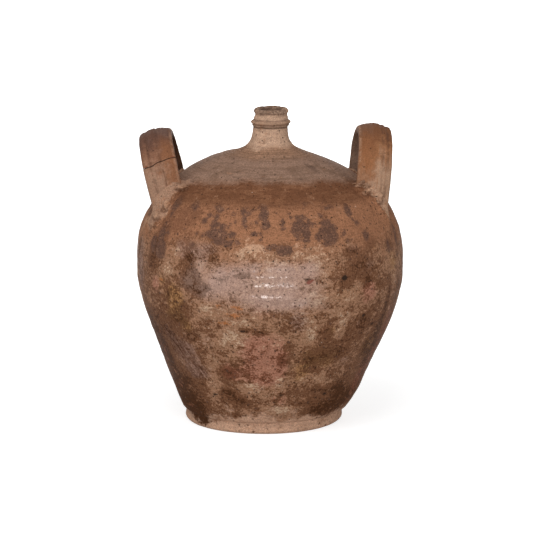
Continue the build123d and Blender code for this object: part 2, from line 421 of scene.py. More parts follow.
# Where the worn surface is paler or darker than elsewhere; the broad pale patches round the sheen on the
# belly's front are also painted sheen
PALE = patches(
    (6, 70, 10, 8, 0.6), (-10, 148, 12, 7, 0.5), (35, 65, 14, 10, 0.6), (-30, 66, 14, 12, 0.5),
    (23, 176, 14, 10, 0.4), (40, 74, 16, 10, 0.5), (20, 180, 20, 12, 0.6), (-21, 147, 16, 10, 0.9),
    (-15, 132, 16, 8, 0.7), (2, 164, 20, 9, 0.4), (29, 158, 16, 9, 0.6), (-18, 162, 20, 8, 0.5),
    (17, 212, 18, 9, 0.6), (21, 146, 12, 8, 0.5), (-27, 98, 14, 10, 0.8), (-17, 117, 12, 8, 0.5),
    (15, 148, 12, 10, 0.5), (34, 128, 10, 10, 0.5), (33, 145, 12, 12, 0.5), (20, 70, 12, 10, 0.4),
    (-5, 232, 16, 8, 0.7), (-72, 195, 12, 30, 0.4), (-4, 188, 54, 36, 0.45), (-4, 60, 44, 26, 0.35),
    (-8, 224, 32, 10, 0.7), (10, 228, 24, 12, 0.5), (24, 236, 26, 9, 0.6), (20, 224, 24, 8, 0.5),
    (-33, 238, 12, 8, 0.5), (-45, 224, 14, 7, 0.7), (-12, 246, 16, 7, 0.4), (-47, 200, 14, 8),
    (-31, 212, 9, 8, 0.6), (-27, 157, 14, 9), (-18, 124, 16, 8, 0.6), (-29, 138, 12, 10, 0.3),
    (-31, 86, 8, 16, 0.5), (-33, 55, 8, 16, 0.7), (-10, 64, 13, 5, 0.8), (-4, 50, 16, 7, 0.5),
    (-8, 109, 12, 10, 0.4), (22, 205, 12, 12, 0.6), (30, 174, 24, 10), (33, 131, 8, 12, 0.9),
    (19, 132, 8, 14, 0.8), (30, 156, 12, 6, 0.6), (27, 76, 17, 8, 0.7), (40, 184, 10, 5, 0.5),
    (66, 204, 13, 18, 0.5), (5, 115, 8, 12, 0.4), (8, 34, 22, 6, 0.7), (56, 258, 16, 12, 0.3),
    (66, 178, 10, 10, 0.4), (-64, 256, 9, 8, 0.8),
)
DARK = patches(
    (-49, 12, 12, 10), (-42, 124, 10, 8, 0.5), (-38, 213, 10, 9, 0.35), (-34, 204, 10, 8, 0.4),
    (45, 168, 9, 8, 0.4), (6, 102, 9, 8, 0.5), (-59, 206, 13, 13), (-35, 216, 7, 10, 0.5),
    (-39, 196, 8, 12, 0.5), (-33, 184, 14, 5, 0.5), (-45, 142, 18, 9, 0.8), (-38, 122, 8, 6),
    (-55, 125, 22, 14, 0.7), (-62, 142, 12, 9, 0.8), (-66, 90, 16, 26), (-50, 104, 14, 12, 0.5),
    (-53, 58, 24, 14, 0.6), (-54, 33, 30, 13, 0.8), (-70, 60, 14, 40, 0.7), (-21, 80, 14, 11, 0.9),
    (-2, 76, 8, 8, 0.7), (-11, 137, 12, 4), (-4, 134, 10, 4, 0.9), (-4, 143, 12, 4, 0.3),
    (-22, 55, 15, 7, 0.8), (-15, 44, 20, 7, 0.8), (-24, 96, 5, 3, 0.7), (-8, 119, 8, 5, 0.5),
    (-13, 202, 12, 4, 0.5), (-24, 208, 8, 6, 0.4), (27, 196, 10, 9, 0.4), (34, 192, 10, 12, 0.6),
    (38, 206, 14, 9, 0.4), (43, 212, 16, 12, 0.6), (46, 192, 12, 9, 0.7), (62, 160, 5, 26),
    (60, 122, 12, 28), (26, 132, 10, 11, 0.6), (12, 140, 12, 8, 0.2), (24, 104, 26, 12, 0.6),
    (20, 96, 6, 4, 0.7), (37, 105, 14, 10, 0.6), (45, 147, 6, 4), (53, 133, 5, 3),
    (44, 133, 10, 8, 0.5), (36, 73, 6, 5, 0.7), (30, 55, 20, 6, 0.5), (45, 56, 15, 12, 0.5),
    (55, 42, 24, 12, 0.7), (40, 30, 30, 10), (25, 42, 14, 6, 0.4), (5, 47, 8, 3, 0.9),
    (8, 55, 6, 2, 0.9), (17, 41, 8, 3, 0.9), (15, 58, 12, 8, 0.4), (72, 130, 14, 44, 0.8),
    (-72, 125, 16, 36, 0.9), (-55, 272, 9, 16, 0.8), (-55, 246, 10, 14, 0.9), (-56, 228, 16, 10),
    (-40, 255, 18, 22, 0.4), (-24, 228, 16, 8, 0.35), (-36, 222, 9, 7, 0.35), (49, 232, 12, 8, 0.8),
    (37, 225, 14, 6, 0.7), (73, 232, 10, 12, 0.9), (46, 262, 14, 18, 0.3), (62, 226, 8, 8, 0.6),
    (-38, 236, 14, 12, 0.3), (7, 98, 8, 10, 0.5), (-56, 10, 16, 14, 1.5), (-10, 204, 10, 6, 0.6),
    (1, 74, 9, 8, 0.5), (-39, 157, 10, 10, 0.6), (-44, 265, 14, 10, 0.6), (-49, 250, 14, 10, 0.6),
    (-37, 266, 10, 8, 0.4), (8, 117, 10, 8, 0.6), (44, 183, 9, 8, 0.5), (55, 103, 10, 14, 0.6),
    (-20, 24, 10, 6, 0.7), (-27, 126, 7, 5, 0.6), (66, 80, 14, 36, 0.7), (-20, 197, 10, 7, 0.6),
    (-32, 195, 9, 10, 0.5), (-27, 187, 8, 5, 0.5), (-31, 180, 13, 8, 0.8), (-36, 192, 10, 9, 0.5),
)
# Casts of colour in the worn glaze; the grey haze on the belly's front is also painted sheen
HAZE_AND_SHEEN = patches(
    (6, 192, 28, 22), (-14, 190, 26, 22, 0.8), (-22, 200, 14, 14, 0.6), (-28, 178, 12, 10, 0.5),
    (10, 170, 18, 8, 0.6), (-10, 210, 20, 9, 0.6), (8, 209, 24, 8, 0.5), (-2, 176, 24, 8, 0.6),
    (-2, 192, 44, 30, 0.4), (-24, 188, 18, 14, 0.75), (-34, 182, 12, 10, 0.3), (20, 188, 18, 13, 0.3),
    (0, 166, 30, 8, 0.5), (17, 212, 16, 9, 0.6), (18, 205, 12, 10, 0.5), (22, 165, 20, 8, 0.4),
    (-18, 206, 12, 8, 0.4), (17, 178, 18, 12, 0.4), (-33, 200, 14, 12, 0.6), (-38, 190, 12, 10, 0.5),
    (-30, 212, 12, 8, 0.5),
)
# Mauve casts; the tall ones down the left and right limbs are also painted sheen
MAUVE = patches(
    (-73, 190, 16, 36), (-47, 100, 26, 18, 0.9), (-40, 76, 20, 12, 0.9), (-56, 122, 16, 12, 0.6),
    (70, 160, 12, 30, 0.5), (43, 90, 14, 8, 0.4), (12, 148, 14, 14, 0.8), (44, 138, 12, 10, 0.6),
    (46, 205, 12, 14, 0.5), (-54, 250, 12, 30, 0.5), (-25, 232, 20, 10, 0.6), (60, 72, 12, 12, 0.3),
    (-40, 234, 20, 14, 0.7), (-32, 220, 18, 12, 0.6), (38, 228, 18, 10, 0.5), (-66, 254, 11, 10, 1.3),
)
ROSY = patches(
    (-8, 112, 17, 18), (-6, 82, 18, 18), (3, 100, 14, 26, 0.9), (-20, 82, 14, 12, 0.9),
    (-2, 165, 20, 12, 0.6), (0, 185, 14, 8, 0.6), (-57, 180, 10, 12, 0.8), (47, 176, 14, 14, 0.9),
    (-62, 52, 16, 12, 0.6), (-58, 26, 14, 8, 0.8), (-66, 100, 14, 30), (8, 46, 18, 10, 0.5),
    (70, 110, 14, 44, 0.9), (64, 56, 14, 26, 0.9), (2, 84, 16, 16, 0.7), (-4, 125, 14, 8, 0.5),
)
OCHRE = patches(
    (-45, 168, 14, 16, 1.4), (-47, 146, 14, 8, 1.1), (-40, 135, 10, 10, 0.7), (-52, 186, 8, 8, 0.5),
    (25, 100, 26, 18, 0.7), (30, 176, 22, 10, 0.5), (28, 133, 12, 14, 0.5), (62, 115, 8, 30, 0.5),
    (66, 205, 14, 18, 0.6), (17, 80, 14, 14, 0.5), (50, 232, 14, 12, 0.6), (55, 103, 10, 16, 0.8),
)
# Glossy streaks on the throwing ridges
STREAKS = patches(
    (0, 203, 14, 1.6), (5, 201, 12, 1.4), (3, 191, 14, 1.6), (-3, 177, 6, 2), (3, 176, 6, 2),
    (13, 170, 6, 3), (-17, 204, 8, 1.4), (-23, 193, 4, 2), (-31, 116, 5, 2), (-30, 122, 3, 2),
    (150, 196, 40, 2), (240, 190, 40, 2),
)
# Orange clay laid bare along the crease
CREASE = patches(
    (-14, 164, 7, 2.6), (-15, 155, 9, 2.6), (-20, 145, 8, 2.6), (-22, 165, 3, 3), (-52, 187, 4, 2),
    (105, 156, 16, 2), (222, 154, 20, 2),
)
# Black pits in the belly
BELLY_PITS = patches(
    (32.5, 196, 4.6, 3.8), (15.5, 197.5, 4.6, 1.8), (-32, 50, 3.4, 2.2), (35, 50, 3.5, 2),
    (53, 133, 3, 2), (-12, 136, 4, 2), (45, 147, 3, 2), (8, 53, 4, 1.6),
)
# A scar that shows the red clay
SCARS = patches(
    (16, 194.5, 3.4, 3.4), (17.5, 196, 3, 2.4),
)
# Clay smeared down the wall under the left handle
SMEARS = patches(
    (-60, 262, 7, 5, 1.2), (-65, 256, 9, 6, 1.3), (-71, 249, 9, 7, 1.2), (-78, 244, 9, 8, 0.8),
)
# Dark marks on the dome
DOME_MARKS = patches(
    (-47, 318, 4, 2), (-26, 303, 8, 2), (-75, 308, 8, 3), (-4, 304, 7, 2), (42, 312, 7, 5),
    (24, 303, 10, 2), (130, 306, 9, 4), (200, 312, 8, 3), (255, 304, 9, 3),
)


def strewn(seed, count, lowest, highest):
    """Clouds for the sides that the photo doesn't show, strewn between two heights."""
    rng = np.random.default_rng(seed)
    clouds = []
    for _ in range(count):
        place = (rng.uniform(86.0, 276.0), rng.uniform(lowest, highest))
        clouds.append(Patch(*place, rng.uniform(7.0, 22.0), rng.uniform(6.0, 18.0)))
    return tuple(clouds)


# Node trees


class Wire:
    """An output socket of a node tree, with arithmetic on values."""

    def __init__(self, nodes, socket):
        self.nodes = nodes
        self.socket = socket

    def maths(self, operation, first, second):
        return self.nodes.node("ShaderNodeMath", {"operation": operation}, {0: first, 1: second})

    def __add__(self, other):
        return self.maths("ADD", self, other)

    def __radd__(self, other):
        return self.maths("ADD", other, self)

    def __sub__(self, other):
        return self.maths("SUBTRACT", self, other)

    def __rsub__(self, other):
        return self.maths("SUBTRACT", other, self)

    def __mul__(self, other):
        return self.maths("MULTIPLY", self, other)

    def __rmul__(self, other):
        return self.maths("MULTIPLY", other, self)

    def __truediv__(self, other):
        return self.maths("DIVIDE", self, other)


class Nodes:
    """The node tree of a material or a world, filled by one method."""

    def __init__(self, owner):
        owner.use_nodes = True
        self.tree = owner.node_tree
        self.tree.nodes.clear()

    def node(self, kind, settings=None, sockets=None, out=0):
        """Add a node: settings first, then the values or links of its sockets."""
        made = self.tree.nodes.new(kind)
        for name, value in (settings or {}).items():
            setattr(made, name, value)
        for key, value in (sockets or {}).items():
            if isinstance(value, Wire):
                self.tree.links.new(value.socket, made.inputs[key])
            else:
                made.inputs[key].default_value = value
        return Wire(self, made.outputs[out]) if made.outputs else None


class Finish(Nodes):
    """One material and the few kinds of node that its layers are made of."""

    def __init__(self, name):
        self.material = bpy.data.materials.new(name)
        super().__init__(self.material)
        self.place = self.node("ShaderNodeTexCoord", out="Object")

    def attribute(self, name):
        return self.node("ShaderNodeAttribute", {"attribute_name": name}, out="Fac")

    def stretched(self, x, y, z):
        """Coordinates multiplied axis by axis."""
        return self.node("ShaderNodeVectorMath", {"operation": "MULTIPLY"}, {0: self.place, 1: (x, y, z)})

    def noise(self, size, detail=3.0, rough=0.55, twist=0.0, source=None):
        """Cloudy value round 0.5, with clouds of a size in millimetres."""
        sockets = {
            "Vector": source or self.place, "Scale": 1.0 / (size * MM), "Detail": detail,
            "Roughness": rough, "Distortion": twist,
        }
        return self.node("ShaderNodeTexNoise", {"noise_dimensions": "3D"}, sockets)

    def cells(self, size, out):
        """Cells of a size round scattered points: the distance to the point, or the cell's own colour."""
        sockets = {"Vector": self.place, "Scale": 1.0 / (size * MM)}
        return self.node("ShaderNodeTexVoronoi", {"feature": "F1"}, sockets, out)

    def step(self, value, low, high):
        """0 before low, 1 past high, and an easy curve between."""
        sockets = {"Value": value, "From Min": low, "From Max": high}
        return self.node("ShaderNodeMapRange", {"interpolation_type": "SMOOTHSTEP"}, sockets)

    def between(self, value, start, full, fade, end):
        """1 from full to fade, with an easy curve up from start and one down to end."""
        return self.step(value, start, full) * (1.0 - self.step(value, fade, end))

    def mix(self, under, over, mask):
        """One colour over another where the mask is 1."""
        return self.node("ShaderNodeMix", {"data_type": "RGBA"}, {0: mask, 6: under, 7: over}, out=2)

    def shade(self, tone, factor):
        """A colour made darker or lighter by a value."""
        grey = self.node("ShaderNodeCombineColor", {}, {0: factor, 1: factor, 2: factor})
        settings = {"data_type": "RGBA", "blend_type": "MULTIPLY"}
        return self.node("ShaderNodeMix", settings, {0: 1.0, 6: tone, 7: grey}, out=2)

    def close(self, tone, roughness, height, bump, coat=None):
        """Finish the tree: the shader, its bump and the output."""
        sockets = {"Strength": 1.0, "Distance": bump * MM, "Height": height}
        normal = self.node("ShaderNodeBump", {}, sockets, "Normal")
        sockets = {"Base Color": tone, "Roughness": roughness, "Normal": normal}
        sockets["Specular IOR Level"] = CLAY_GLOSS
        if coat is not None:
            sockets["Coat Weight"] = coat
            sockets["Coat Roughness"] = GLAZE_ROUGHNESS
        shader = self.node("ShaderNodeBsdfPrincipled", {}, sockets)
        self.node("ShaderNodeOutputMaterial", {}, {"Surface": shader})
        return self.material


def colour(red, green, blue):
    return (red, green, blue, 1.0)


def make_piece(name, points, faces, node, material, fields):
    """A closed mesh that stands for a CAD node, with its own named fields on the vertices."""
    mesh = bpy.data.meshes.new(name)
    mesh.from_pydata((points * MM).tolist(), [], faces)
    for field, values in fields.items():
        layer = mesh.attributes.new(field, "FLOAT", "POINT")
        layer.data.foreach_set("value", np.asarray(values, dtype=np.float32))
    shell = bmesh.new()
    shell.from_mesh(mesh)
    bmesh.ops.recalc_face_normals(shell, faces=shell.faces)
    shell.to_mesh(mesh)
    shell.free()
    mesh.shade_smooth()
    mesh.set_sharp_from_angle(angle=radians(50.0))
    mesh.materials.append(material)
    piece = bpy.data.objects.new(name, mesh)
    bpy.context.scene.collection.objects.link(piece)
    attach(piece, "root")
    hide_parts(node)
    return piece


# Finishes of the turned jar, from the neck down to the foot

CLAY_GLOSS = 0.045
GLAZE_ROUGHNESS = 0.2
NECK_TAN = colour(0.45, 0.29, 0.20)
NECK_WORN = colour(0.26, 0.152, 0.098)
NECK_DIRT_AND_SHADE = colour(0.105, 0.060, 0.040)
LIP_BROWN = colour(0.10, 0.060, 0.043)
RING_TAN = colour(0.275, 0.155, 0.097)
RING_DARK = colour(0.17, 0.092, 0.056)
DOME_GREY = colour(0.26, 0.157, 0.110)
DOME_BROWN = colour(0.185, 0.108, 0.072)
DOME_STAIN = colour(0.095, 0.055, 0.04)
BAND_BROWN = colour(0.138, 0.057, 0.028)
BAND_DARK = colour(0.070, 0.030, 0.016)
BAND_ORANGE = colour(0.205, 0.091, 0.046)
WARM_DARK = colour(0.125, 0.057, 0.034)
WARM_SHADE = colour(0.200, 0.088, 0.047)
WARM_CLAY = colour(0.275, 0.125, 0.066)
WARM_TAN = colour(0.42, 0.245, 0.155)
BLOTCH_BROWN = colour(0.108, 0.056, 0.039)
BELLY_DARK = colour(0.066, 0.025, 0.010)
BELLY_BROWN = colour(0.152, 0.067, 0.034)
BELLY_TAN = colour(0.295, 0.155, 0.090)
BELLY_CREAM = colour(0.45, 0.300, 0.200)
RUST_BROWN = colour(0.165, 0.060, 0.033)
ROSY_PINK = colour(0.345, 0.155, 0.100)
OCHRE_BROWN = colour(0.135, 0.062, 0.026)
OCHRE_YELLOW = colour(0.300, 0.146, 0.054)
# Mauve tones, which are also painted sheen where they lie down the limbs
MAUVE_BROWN = colour(0.155, 0.079, 0.053)
MAUVE_GREY = colour(0.245, 0.142, 0.104)
# Haze tones: grey worn glaze and painted sheen
HAZE_AND_SHEEN_GREY = colour(0.37, 0.234, 0.182)
HAZE_AND_SHEEN_PALE = colour(0.42, 0.280, 0.212)
HAZE_AND_SHEEN_DARK = colour(0.205, 0.128, 0.098)
FOOT_BUFF = colour(0.49, 0.296, 0.200)
PIT_BLACK = colour(0.026, 0.015, 0.010)
SPECK_WHITE = colour(0.66, 0.55, 0.45)
SCAR_RED = colour(0.19, 0.055, 0.038)
FLECK_ORANGE = colour(0.36, 0.130, 0.045)
LEFT_FOOT = colour(0.32, 0.188, 0.124)
RIGHT_FOOT = colour(0.375, 0.228, 0.148)


class JarPlaces:
    """Height, radius and the noises that the jar's finishes share; each noise lies round 0."""

    def __init__(self, clay):
        x, y, z = (clay.node("ShaderNodeSeparateXYZ", {}, {0: clay.place}, axis) for axis in "XYZ")
        level = clay.stretched(1.0, 1.0, 0.0)
        length = clay.node("ShaderNodeVectorMath", {"operation": "LENGTH"}, {0: level}, "Value")
        self.height = z * 1000.0
        self.radius = length * 1000.0
        self.sideways = (x * x) / (x * x + y * y + 0.000001)
        self.wander = clay.noise(26.0, 4.0) - 0.5
        self.cloud = clay.noise(38.0, 3.0, 0.5) - 0.5
        self.mottle = clay.noise(11.0, 4.0, 0.62, 0.6, clay.stretched(0.8, 0.8, 1.2)) - 0.5
        self.blots = clay.noise(4.6, 4.0, 0.64, 0.5, clay.stretched(0.85, 0.85, 1.1)) - 0.5
        self.flecks = clay.noise(2.3, 3.0, 0.66) - 0.5
        self.grit = clay.noise(0.9, 2.0, 0.60) - 0.5
        ring_place = clay.node("ShaderNodeCombineXYZ", {}, {0: x * 0.03, 1: y * 0.03, 2: z - length})
        self.rings = clay.noise(3.0, 4.0, 0.75, 0.0, ring_place) - 0.5
        self.wipes = clay.noise(2.2, 4.0, 0.7, 0.0, clay.stretched(0.12, 0.12, 1.0)) - 0.5
        slant = {0: x * 1.2 + z, 1: x * 0.12 - z * 0.14, 2: y * 0.3}
        self.strokes = clay.noise(3.4, 3.0, 0.6, 0.0, clay.node("ShaderNodeCombineXYZ", {}, slant)) - 0.5


def dots(clay, size, width, share, ragged):
    """Scattered spots: one per cell of a size at most, in a share of the cells, with ragged edges."""
    near = clay.cells(size, "Distance") + ragged
    lot = clay.node("ShaderNodeSeparateColor", {}, {0: clay.cells(size, "Color")}, "Red")
    inside_dot = 1.0 - clay.step(near, width * 0.65, width)
    return inside_dot * clay.step(lot, 1.0 - share, 1.02 - share)


def dome_layer(clay, at):
    """Grey-brown dome with fine throwing lines and dark marks, tan and ringed towards the neck."""
    tone = clay.mix(DOME_GREY, DOME_BROWN, clay.step(at.cloud + at.mottle * 0.5, -0.04, 0.18))
    tone = clay.mix(tone, DOME_BROWN, clay.step(at.rings, 0.0, 0.12) * 0.8)
    tone = clay.mix(tone, DOME_STAIN, clay.step(at.rings + at.blots * 0.3, 0.14, 0.22) * 0.5)
    ringed = 1.0 - clay.step(at.radius + 40.0 * at.wander, 34.0, 60.0)
    tone = clay.mix(tone, RING_TAN, ringed)
    tone = clay.mix(tone, RING_DARK, ringed * clay.step(at.rings, -0.02, 0.12) * 0.8)
    mark = clay.step(clay.attribute("mark") + at.mottle * 1.2 + at.blots * 0.8, 0.0, 0.3)
    tone = clay.mix(tone, DOME_STAIN, mark * 0.6)
    stain = clay.step(at.mottle + at.cloud * 0.6, 0.14, 0.24) * 0.4
    return clay.mix(tone, DOME_STAIN, stain * (1.0 - ringed))


def neck_layer(clay, at, under):
    """Pale tan neck, pitted, with dirt and painted shade along the collar's edges and in its groove, and a
    brown worn lip.
    """
    tone = clay.mix(NECK_TAN, NECK_WORN, clay.step(at.mottle, 0.04, 0.20) * 0.6)
    tone = clay.mix(tone, NECK_WORN, clay.step(at.rings, 0.04, 0.18) * 0.5)
    # Dirt and painted shade under the collar, along its top edge and in its groove
    low_edge = 1.0 - clay.step(at.height - 2.0 * at.blots, COLLAR_BOTTOM - 0.2, COLLAR_BOTTOM + 2.2)
    below = clay.step(at.height, COLLAR_BOTTOM - 2.6, COLLAR_BOTTOM - 0.8)
    top_edge = clay.between(at.height, COLLAR_TOP - 1.8, COLLAR_TOP, COLLAR_TOP, COLLAR_TOP + 1.4)
    tone = clay.mix(tone, NECK_DIRT_AND_SHADE, low_edge * below * 0.75)
    tone = clay.mix(tone, NECK_DIRT_AND_SHADE, top_edge * 0.5)
    up_collar = at.height - COLLAR_BOTTOM
    collar_height = COLLAR_TOP - COLLAR_BOTTOM
    on_bead = clay.between(up_collar, 1.0, 2.0, collar_height - 1.0, collar_height)
    tone = clay.mix(tone, NECK_WORN, on_bead * 0.55)
    groove = clay.between(up_collar, 1.0, 2.0, 2.4, 3.4)
    tone = clay.mix(tone, NECK_DIRT_AND_SHADE, groove * clay.step(at.blots, -0.12, 0.10) * 0.7)
    pocks = dots(clay, 7.0, 0.17, 0.5, at.grit * 0.3)
    tone = clay.mix(tone, NECK_DIRT_AND_SHADE, pocks * 0.85)
    on_neck = 1.0 - clay.step(at.radius + 22.0 * at.wander, 24.0, 33.0)
    tone = clay.mix(under, tone, on_neck * clay.step(at.height, 318.0, 326.0))
    worn = clay.step(at.height + 30.0 * at.wander + 14.0 * at.blots, 368.0, 372.0)
    return clay.mix(tone, LIP_BROWN, worn * clay.step(at.flecks, -0.16, 0.04) * 0.8)


def band_layer(clay, at):
    """Brown speckled band round the shoulder, streaked along, darkest along its lower edge."""
    tone = clay.mix(BAND_BROWN, BAND_ORANGE, clay.step(at.wander + at.mottle + at.wipes, 0.0, 0.24) * 0.8)
    edge = 1.0 - clay.step(at.height + 14.0 * at.wander, 279.0, 286.0)
    tone = clay.mix(tone, BAND_DARK, edge * clay.step(at.blots, -0.08, 0.12) * 0.5)
    return clay.mix(tone, BAND_DARK, clay.step(at.flecks + at.wipes * 0.7, 0.06, 0.20) * 0.6)


def wall_layer(clay, at, on_warm):
    """The worn wall: four tones from dark to pale, warm under the band and with casts of colour below; where
    the haze lies the tones are also painted sheen, paler and calmer.
    """
    broken = at.cloud * 0.8 + at.mottle * 1.3 + at.blots * 0.7
    mauve, rosy, ochre = (
        clay.step(clay.attribute(cast) + broken, 0.25, 0.85) for cast in ("mauve", "rosy", "ochre")
    )
    # Haze: grey worn glaze on the belly's front, and painted sheen there
    haze_and_sheen = clay.step(clay.attribute("haze_and_sheen") + at.mottle * 0.7 + at.blots * 0.6, 0.0, 1.5)
    brown = clay.mix(BELLY_BROWN, RUST_BROWN, rosy * 0.9)
    brown = clay.mix(brown, OCHRE_BROWN, ochre * 0.8)
    brown = clay.mix(brown, MAUVE_BROWN, mauve * 0.9)
    brown = clay.mix(brown, HAZE_AND_SHEEN_DARK, haze_and_sheen)
    tan = clay.mix(BELLY_TAN, ROSY_PINK, rosy * 0.9)
    tan = clay.mix(tan, OCHRE_YELLOW, ochre * 0.8)
    tan = clay.mix(tan, MAUVE_GREY, mauve * 0.9)
    tan = clay.mix(tan, HAZE_AND_SHEEN_GREY, haze_and_sheen)
    cream = clay.mix(BELLY_CREAM, HAZE_AND_SHEEN_PALE, haze_and_sheen)
    worn_tones = (BELLY_DARK, brown, tan, cream)
    warm_tones = (WARM_DARK, WARM_SHADE, WARM_CLAY, WARM_TAN)
    tones = [clay.mix(worn, warm, on_warm) for worn, warm in zip(worn_tones, warm_tones)]
    rough = at.cloud * 0.8 + at.mottle * 0.9 + at.blots * 0.8 + at.flecks * 0.8
    pale = clay.step(clay.attribute("pale") + broken, 0.15, 1.05)
    dark = clay.step(clay.attribute("dark") + broken * 1.4, 0.15, 1.05)
    # The haze also lifts the tone, as painted sheen
    level = 0.47 + 0.13 * on_warm + 0.28 * pale - 0.38 * dark + 0.10 * rosy + 0.16 * haze_and_sheen
    level = level + rough * (1.0 - 0.6 * haze_and_sheen) * (1.0 - 0.5 * on_warm)
    scratched = clay.step(clay.attribute("mauve"), 0.1, 0.7) * (1.0 - clay.step(at.sideways, 0.6, 0.95))
    level = level + 1.3 * at.strokes * scratched * (1.0 - on_warm)
    tone = clay.mix(tones[0], tones[1], clay.step(level, 0.10, 0.32))
    tone = clay.mix(tone, tones[2], clay.step(level, 0.40, 0.60))
    tone = clay.mix(tone, tones[3], clay.step(level, 0.72, 0.97))
    fresh = clay.step(clay.attribute("crease") + at.wipes * 0.6 + at.blots * 1.2, 0.02, 0.16)
    return clay.mix(tone, FLECK_ORANGE, fresh * 0.75)


def blotch_layer(clay, at, under):
    """Dark ragged blotches, soft at their edges, with small spots round them."""
    ragged = clay.attribute("blotch") + at.mottle * 0.8 + at.blots * 1.1 + at.flecks * 0.9
    dark = clay.mix(BLOTCH_BROWN, WARM_SHADE, clay.step(at.blots + at.flecks, -0.05, 0.20) * 0.4)
    tone = clay.mix(under, dark, clay.step(ragged, -0.03, 0.03) * 0.94)
    spots = dots(clay, 8.0, 0.20, 0.45, at.flecks * 0.5)
    return clay.mix(tone, BLOTCH_BROWN, spots * 0.8)


def root_layer(clay, at, under, foot):
    """Clay smeared down from a strap in the tone of its foot, with painted shadow under the finger lumps and
    painted highlight on their tops.
    """
    pulls = clay.noise(2.2, 4.0, 0.7, 0.0, clay.stretched(1.0, 1.0, 0.15)) - 0.5
    smear = clay.mix(foot, WARM_CLAY, clay.step(pulls + at.mottle * 0.6 + at.blots * 0.5, -0.02, 0.20) * 0.7)
    smeared = clay.step(clay.attribute("root") + at.mottle * 2.0 + at.blots * 1.2, 0.2, 0.8)
    tone = clay.mix(under, smear, smeared)
    # Painted shadow below the finger lumps, then painted highlight on their tops
    tone = clay.mix(tone, WARM_DARK, clay.attribute("painted_lump_shadow") * clay.step(at.blots, -0.25, 0.05) * 0.85)
    return clay.mix(tone, WARM_TAN, clay.attribute("painted_lump_highlight") * clay.step(at.blots, -0.20, 0.10) * 0.6)


def jar_finish(name, foot):
    """Fired clay of the whole jar, zone by zone; foot is the tone of the strap's foot that smears it."""
    clay = Finish(name)
    at = JarPlaces(clay)
    greyed = 24.0 * clay.attribute("mauve")
    on_warm = clay.step(at.height + 70.0 * at.wander + 40.0 * at.mottle - greyed, 206.0, 246.0)
    tone = wall_layer(clay, at, on_warm)
    tone = blotch_layer(clay, at, tone)
    edge_wave = 14.0 * at.wander + 8.0 * at.blots
    on_band = clay.step(at.height + edge_wave * 1.4, 269.0, 286.0)
    tone = clay.mix(tone, band_layer(clay, at), on_band * 0.95)
    band_top = 302.5 - 8.5 * at.sideways
    on_dome = clay.step(at.height + edge_wave * 0.9 - band_top, -6.0, 4.0)
    tone = clay.mix(tone, dome_layer(clay, at), on_dome)
    tone = neck_layer(clay, at, tone)
    low_edge = at.height + 50.0 * at.wander + 30.0 * at.mottle + 14.0 * at.blots
    bare = 1.0 - clay.step(low_edge + 15.0 * clay.attribute("dark"), 20.0, 32.0)
    buff = clay.mix(FOOT_BUFF, BELLY_TAN, clay.step(at.mottle + at.wipes * 0.7, 0.0, 0.20) * 0.6)
    tone = clay.mix(tone, buff, bare)
    tone = root_layer(clay, at, tone, foot)

    on_belly = (1.0 - on_warm) * (1.0 - bare)
    tone = clay.shade(tone, 1.0 + at.flecks * 1.2 + at.grit * 1.6 + at.wipes * 0.6 + at.blots * 0.5)
    pits = dots(clay, 6.0, 0.19, 0.5, at.grit * 0.3)
    tone = clay.mix(tone, PIT_BLACK, pits * 0.8)
    crumbs = dots(clay, 3.6, 0.26, 0.4, at.grit * 0.6)
    crumbly = on_belly * clay.step(clay.attribute("pale") + at.cloud * 2.0, 0.1, 0.7)
    tone = clay.mix(tone, BELLY_CREAM, crumbs * crumbly * 0.6)
    scars = clay.step(clay.attribute("scar") + at.flecks * 0.5, 0.0, 0.12)
    tone = clay.mix(tone, SCAR_RED, scars * 0.9)
    holes = clay.step(clay.attribute("pit") + at.flecks * 0.5, 0.0, 0.12)
    tone = clay.mix(tone, PIT_BLACK, holes * 0.95)
    low_down = 1.0 - clay.step(at.height + 70.0 * at.wander, 56.0, 84.0)
    low_pits = dots(clay, 8.5, 0.21, 0.6, at.flecks * 0.6) * low_down
    tone = clay.mix(tone, BELLY_DARK, low_pits * 0.75)
    specks = dots(clay, 10.0, 0.07, 0.12, at.grit * 0.1)
    tone = clay.mix(tone, SPECK_WHITE, specks * 0.6)

    glazed = clay.between(at.height, 30.0, 70.0, 215.0, 250.0)
    gloss = glazed * clay.step(clay.attribute("haze_and_sheen") + at.mottle, 0.1, 0.9)
    roughness = 0.80 - glazed * 0.14 - gloss * 0.26 + at.flecks * 0.3
    height = at.grit * 0.35 + at.flecks * 0.6 + at.wipes * 0.4 + at.blots * 0.5 - pits * 0.8 - holes
    height = height * (1.0 - 0.7 * gloss)
    streak = clay.step(clay.attribute("streak") + at.flecks * 2.0 + at.blots * 2.2, 0.06, 0.14)
    coat = glazed * on_belly * (0.01 + gloss * (0.085 + 0.6 * at.blots) + 0.78 * streak)
    return clay.close(tone, roughness, height, 0.5, coat)


# Finish of the straps

LEFT_BROWN = colour(0.118, 0.058, 0.040)
LEFT_TAN = colour(0.205, 0.097, 0.058)
RIGHT_BROWN = colour(0.170, 0.071, 0.034)
RIGHT_TAN = colour(0.258, 0.115, 0.054)
LEFT_MAUVE = colour(0.140, 0.080, 0.062)
RIGHT_RUST = colour(0.165, 0.080, 0.048)
# Painted shade of the straps' inner faces under the arches
LEFT_INSIDE_SHADE = colour(0.050, 0.024, 0.015)
RIGHT_INSIDE_SHADE = colour(0.200, 0.130, 0.096)
STRAP_DARK = colour(0.085, 0.042, 0.028)
STRAP_ORANGE = colour(0.235, 0.094, 0.040)
CHIP_RED = colour(0.20, 0.070, 0.038)


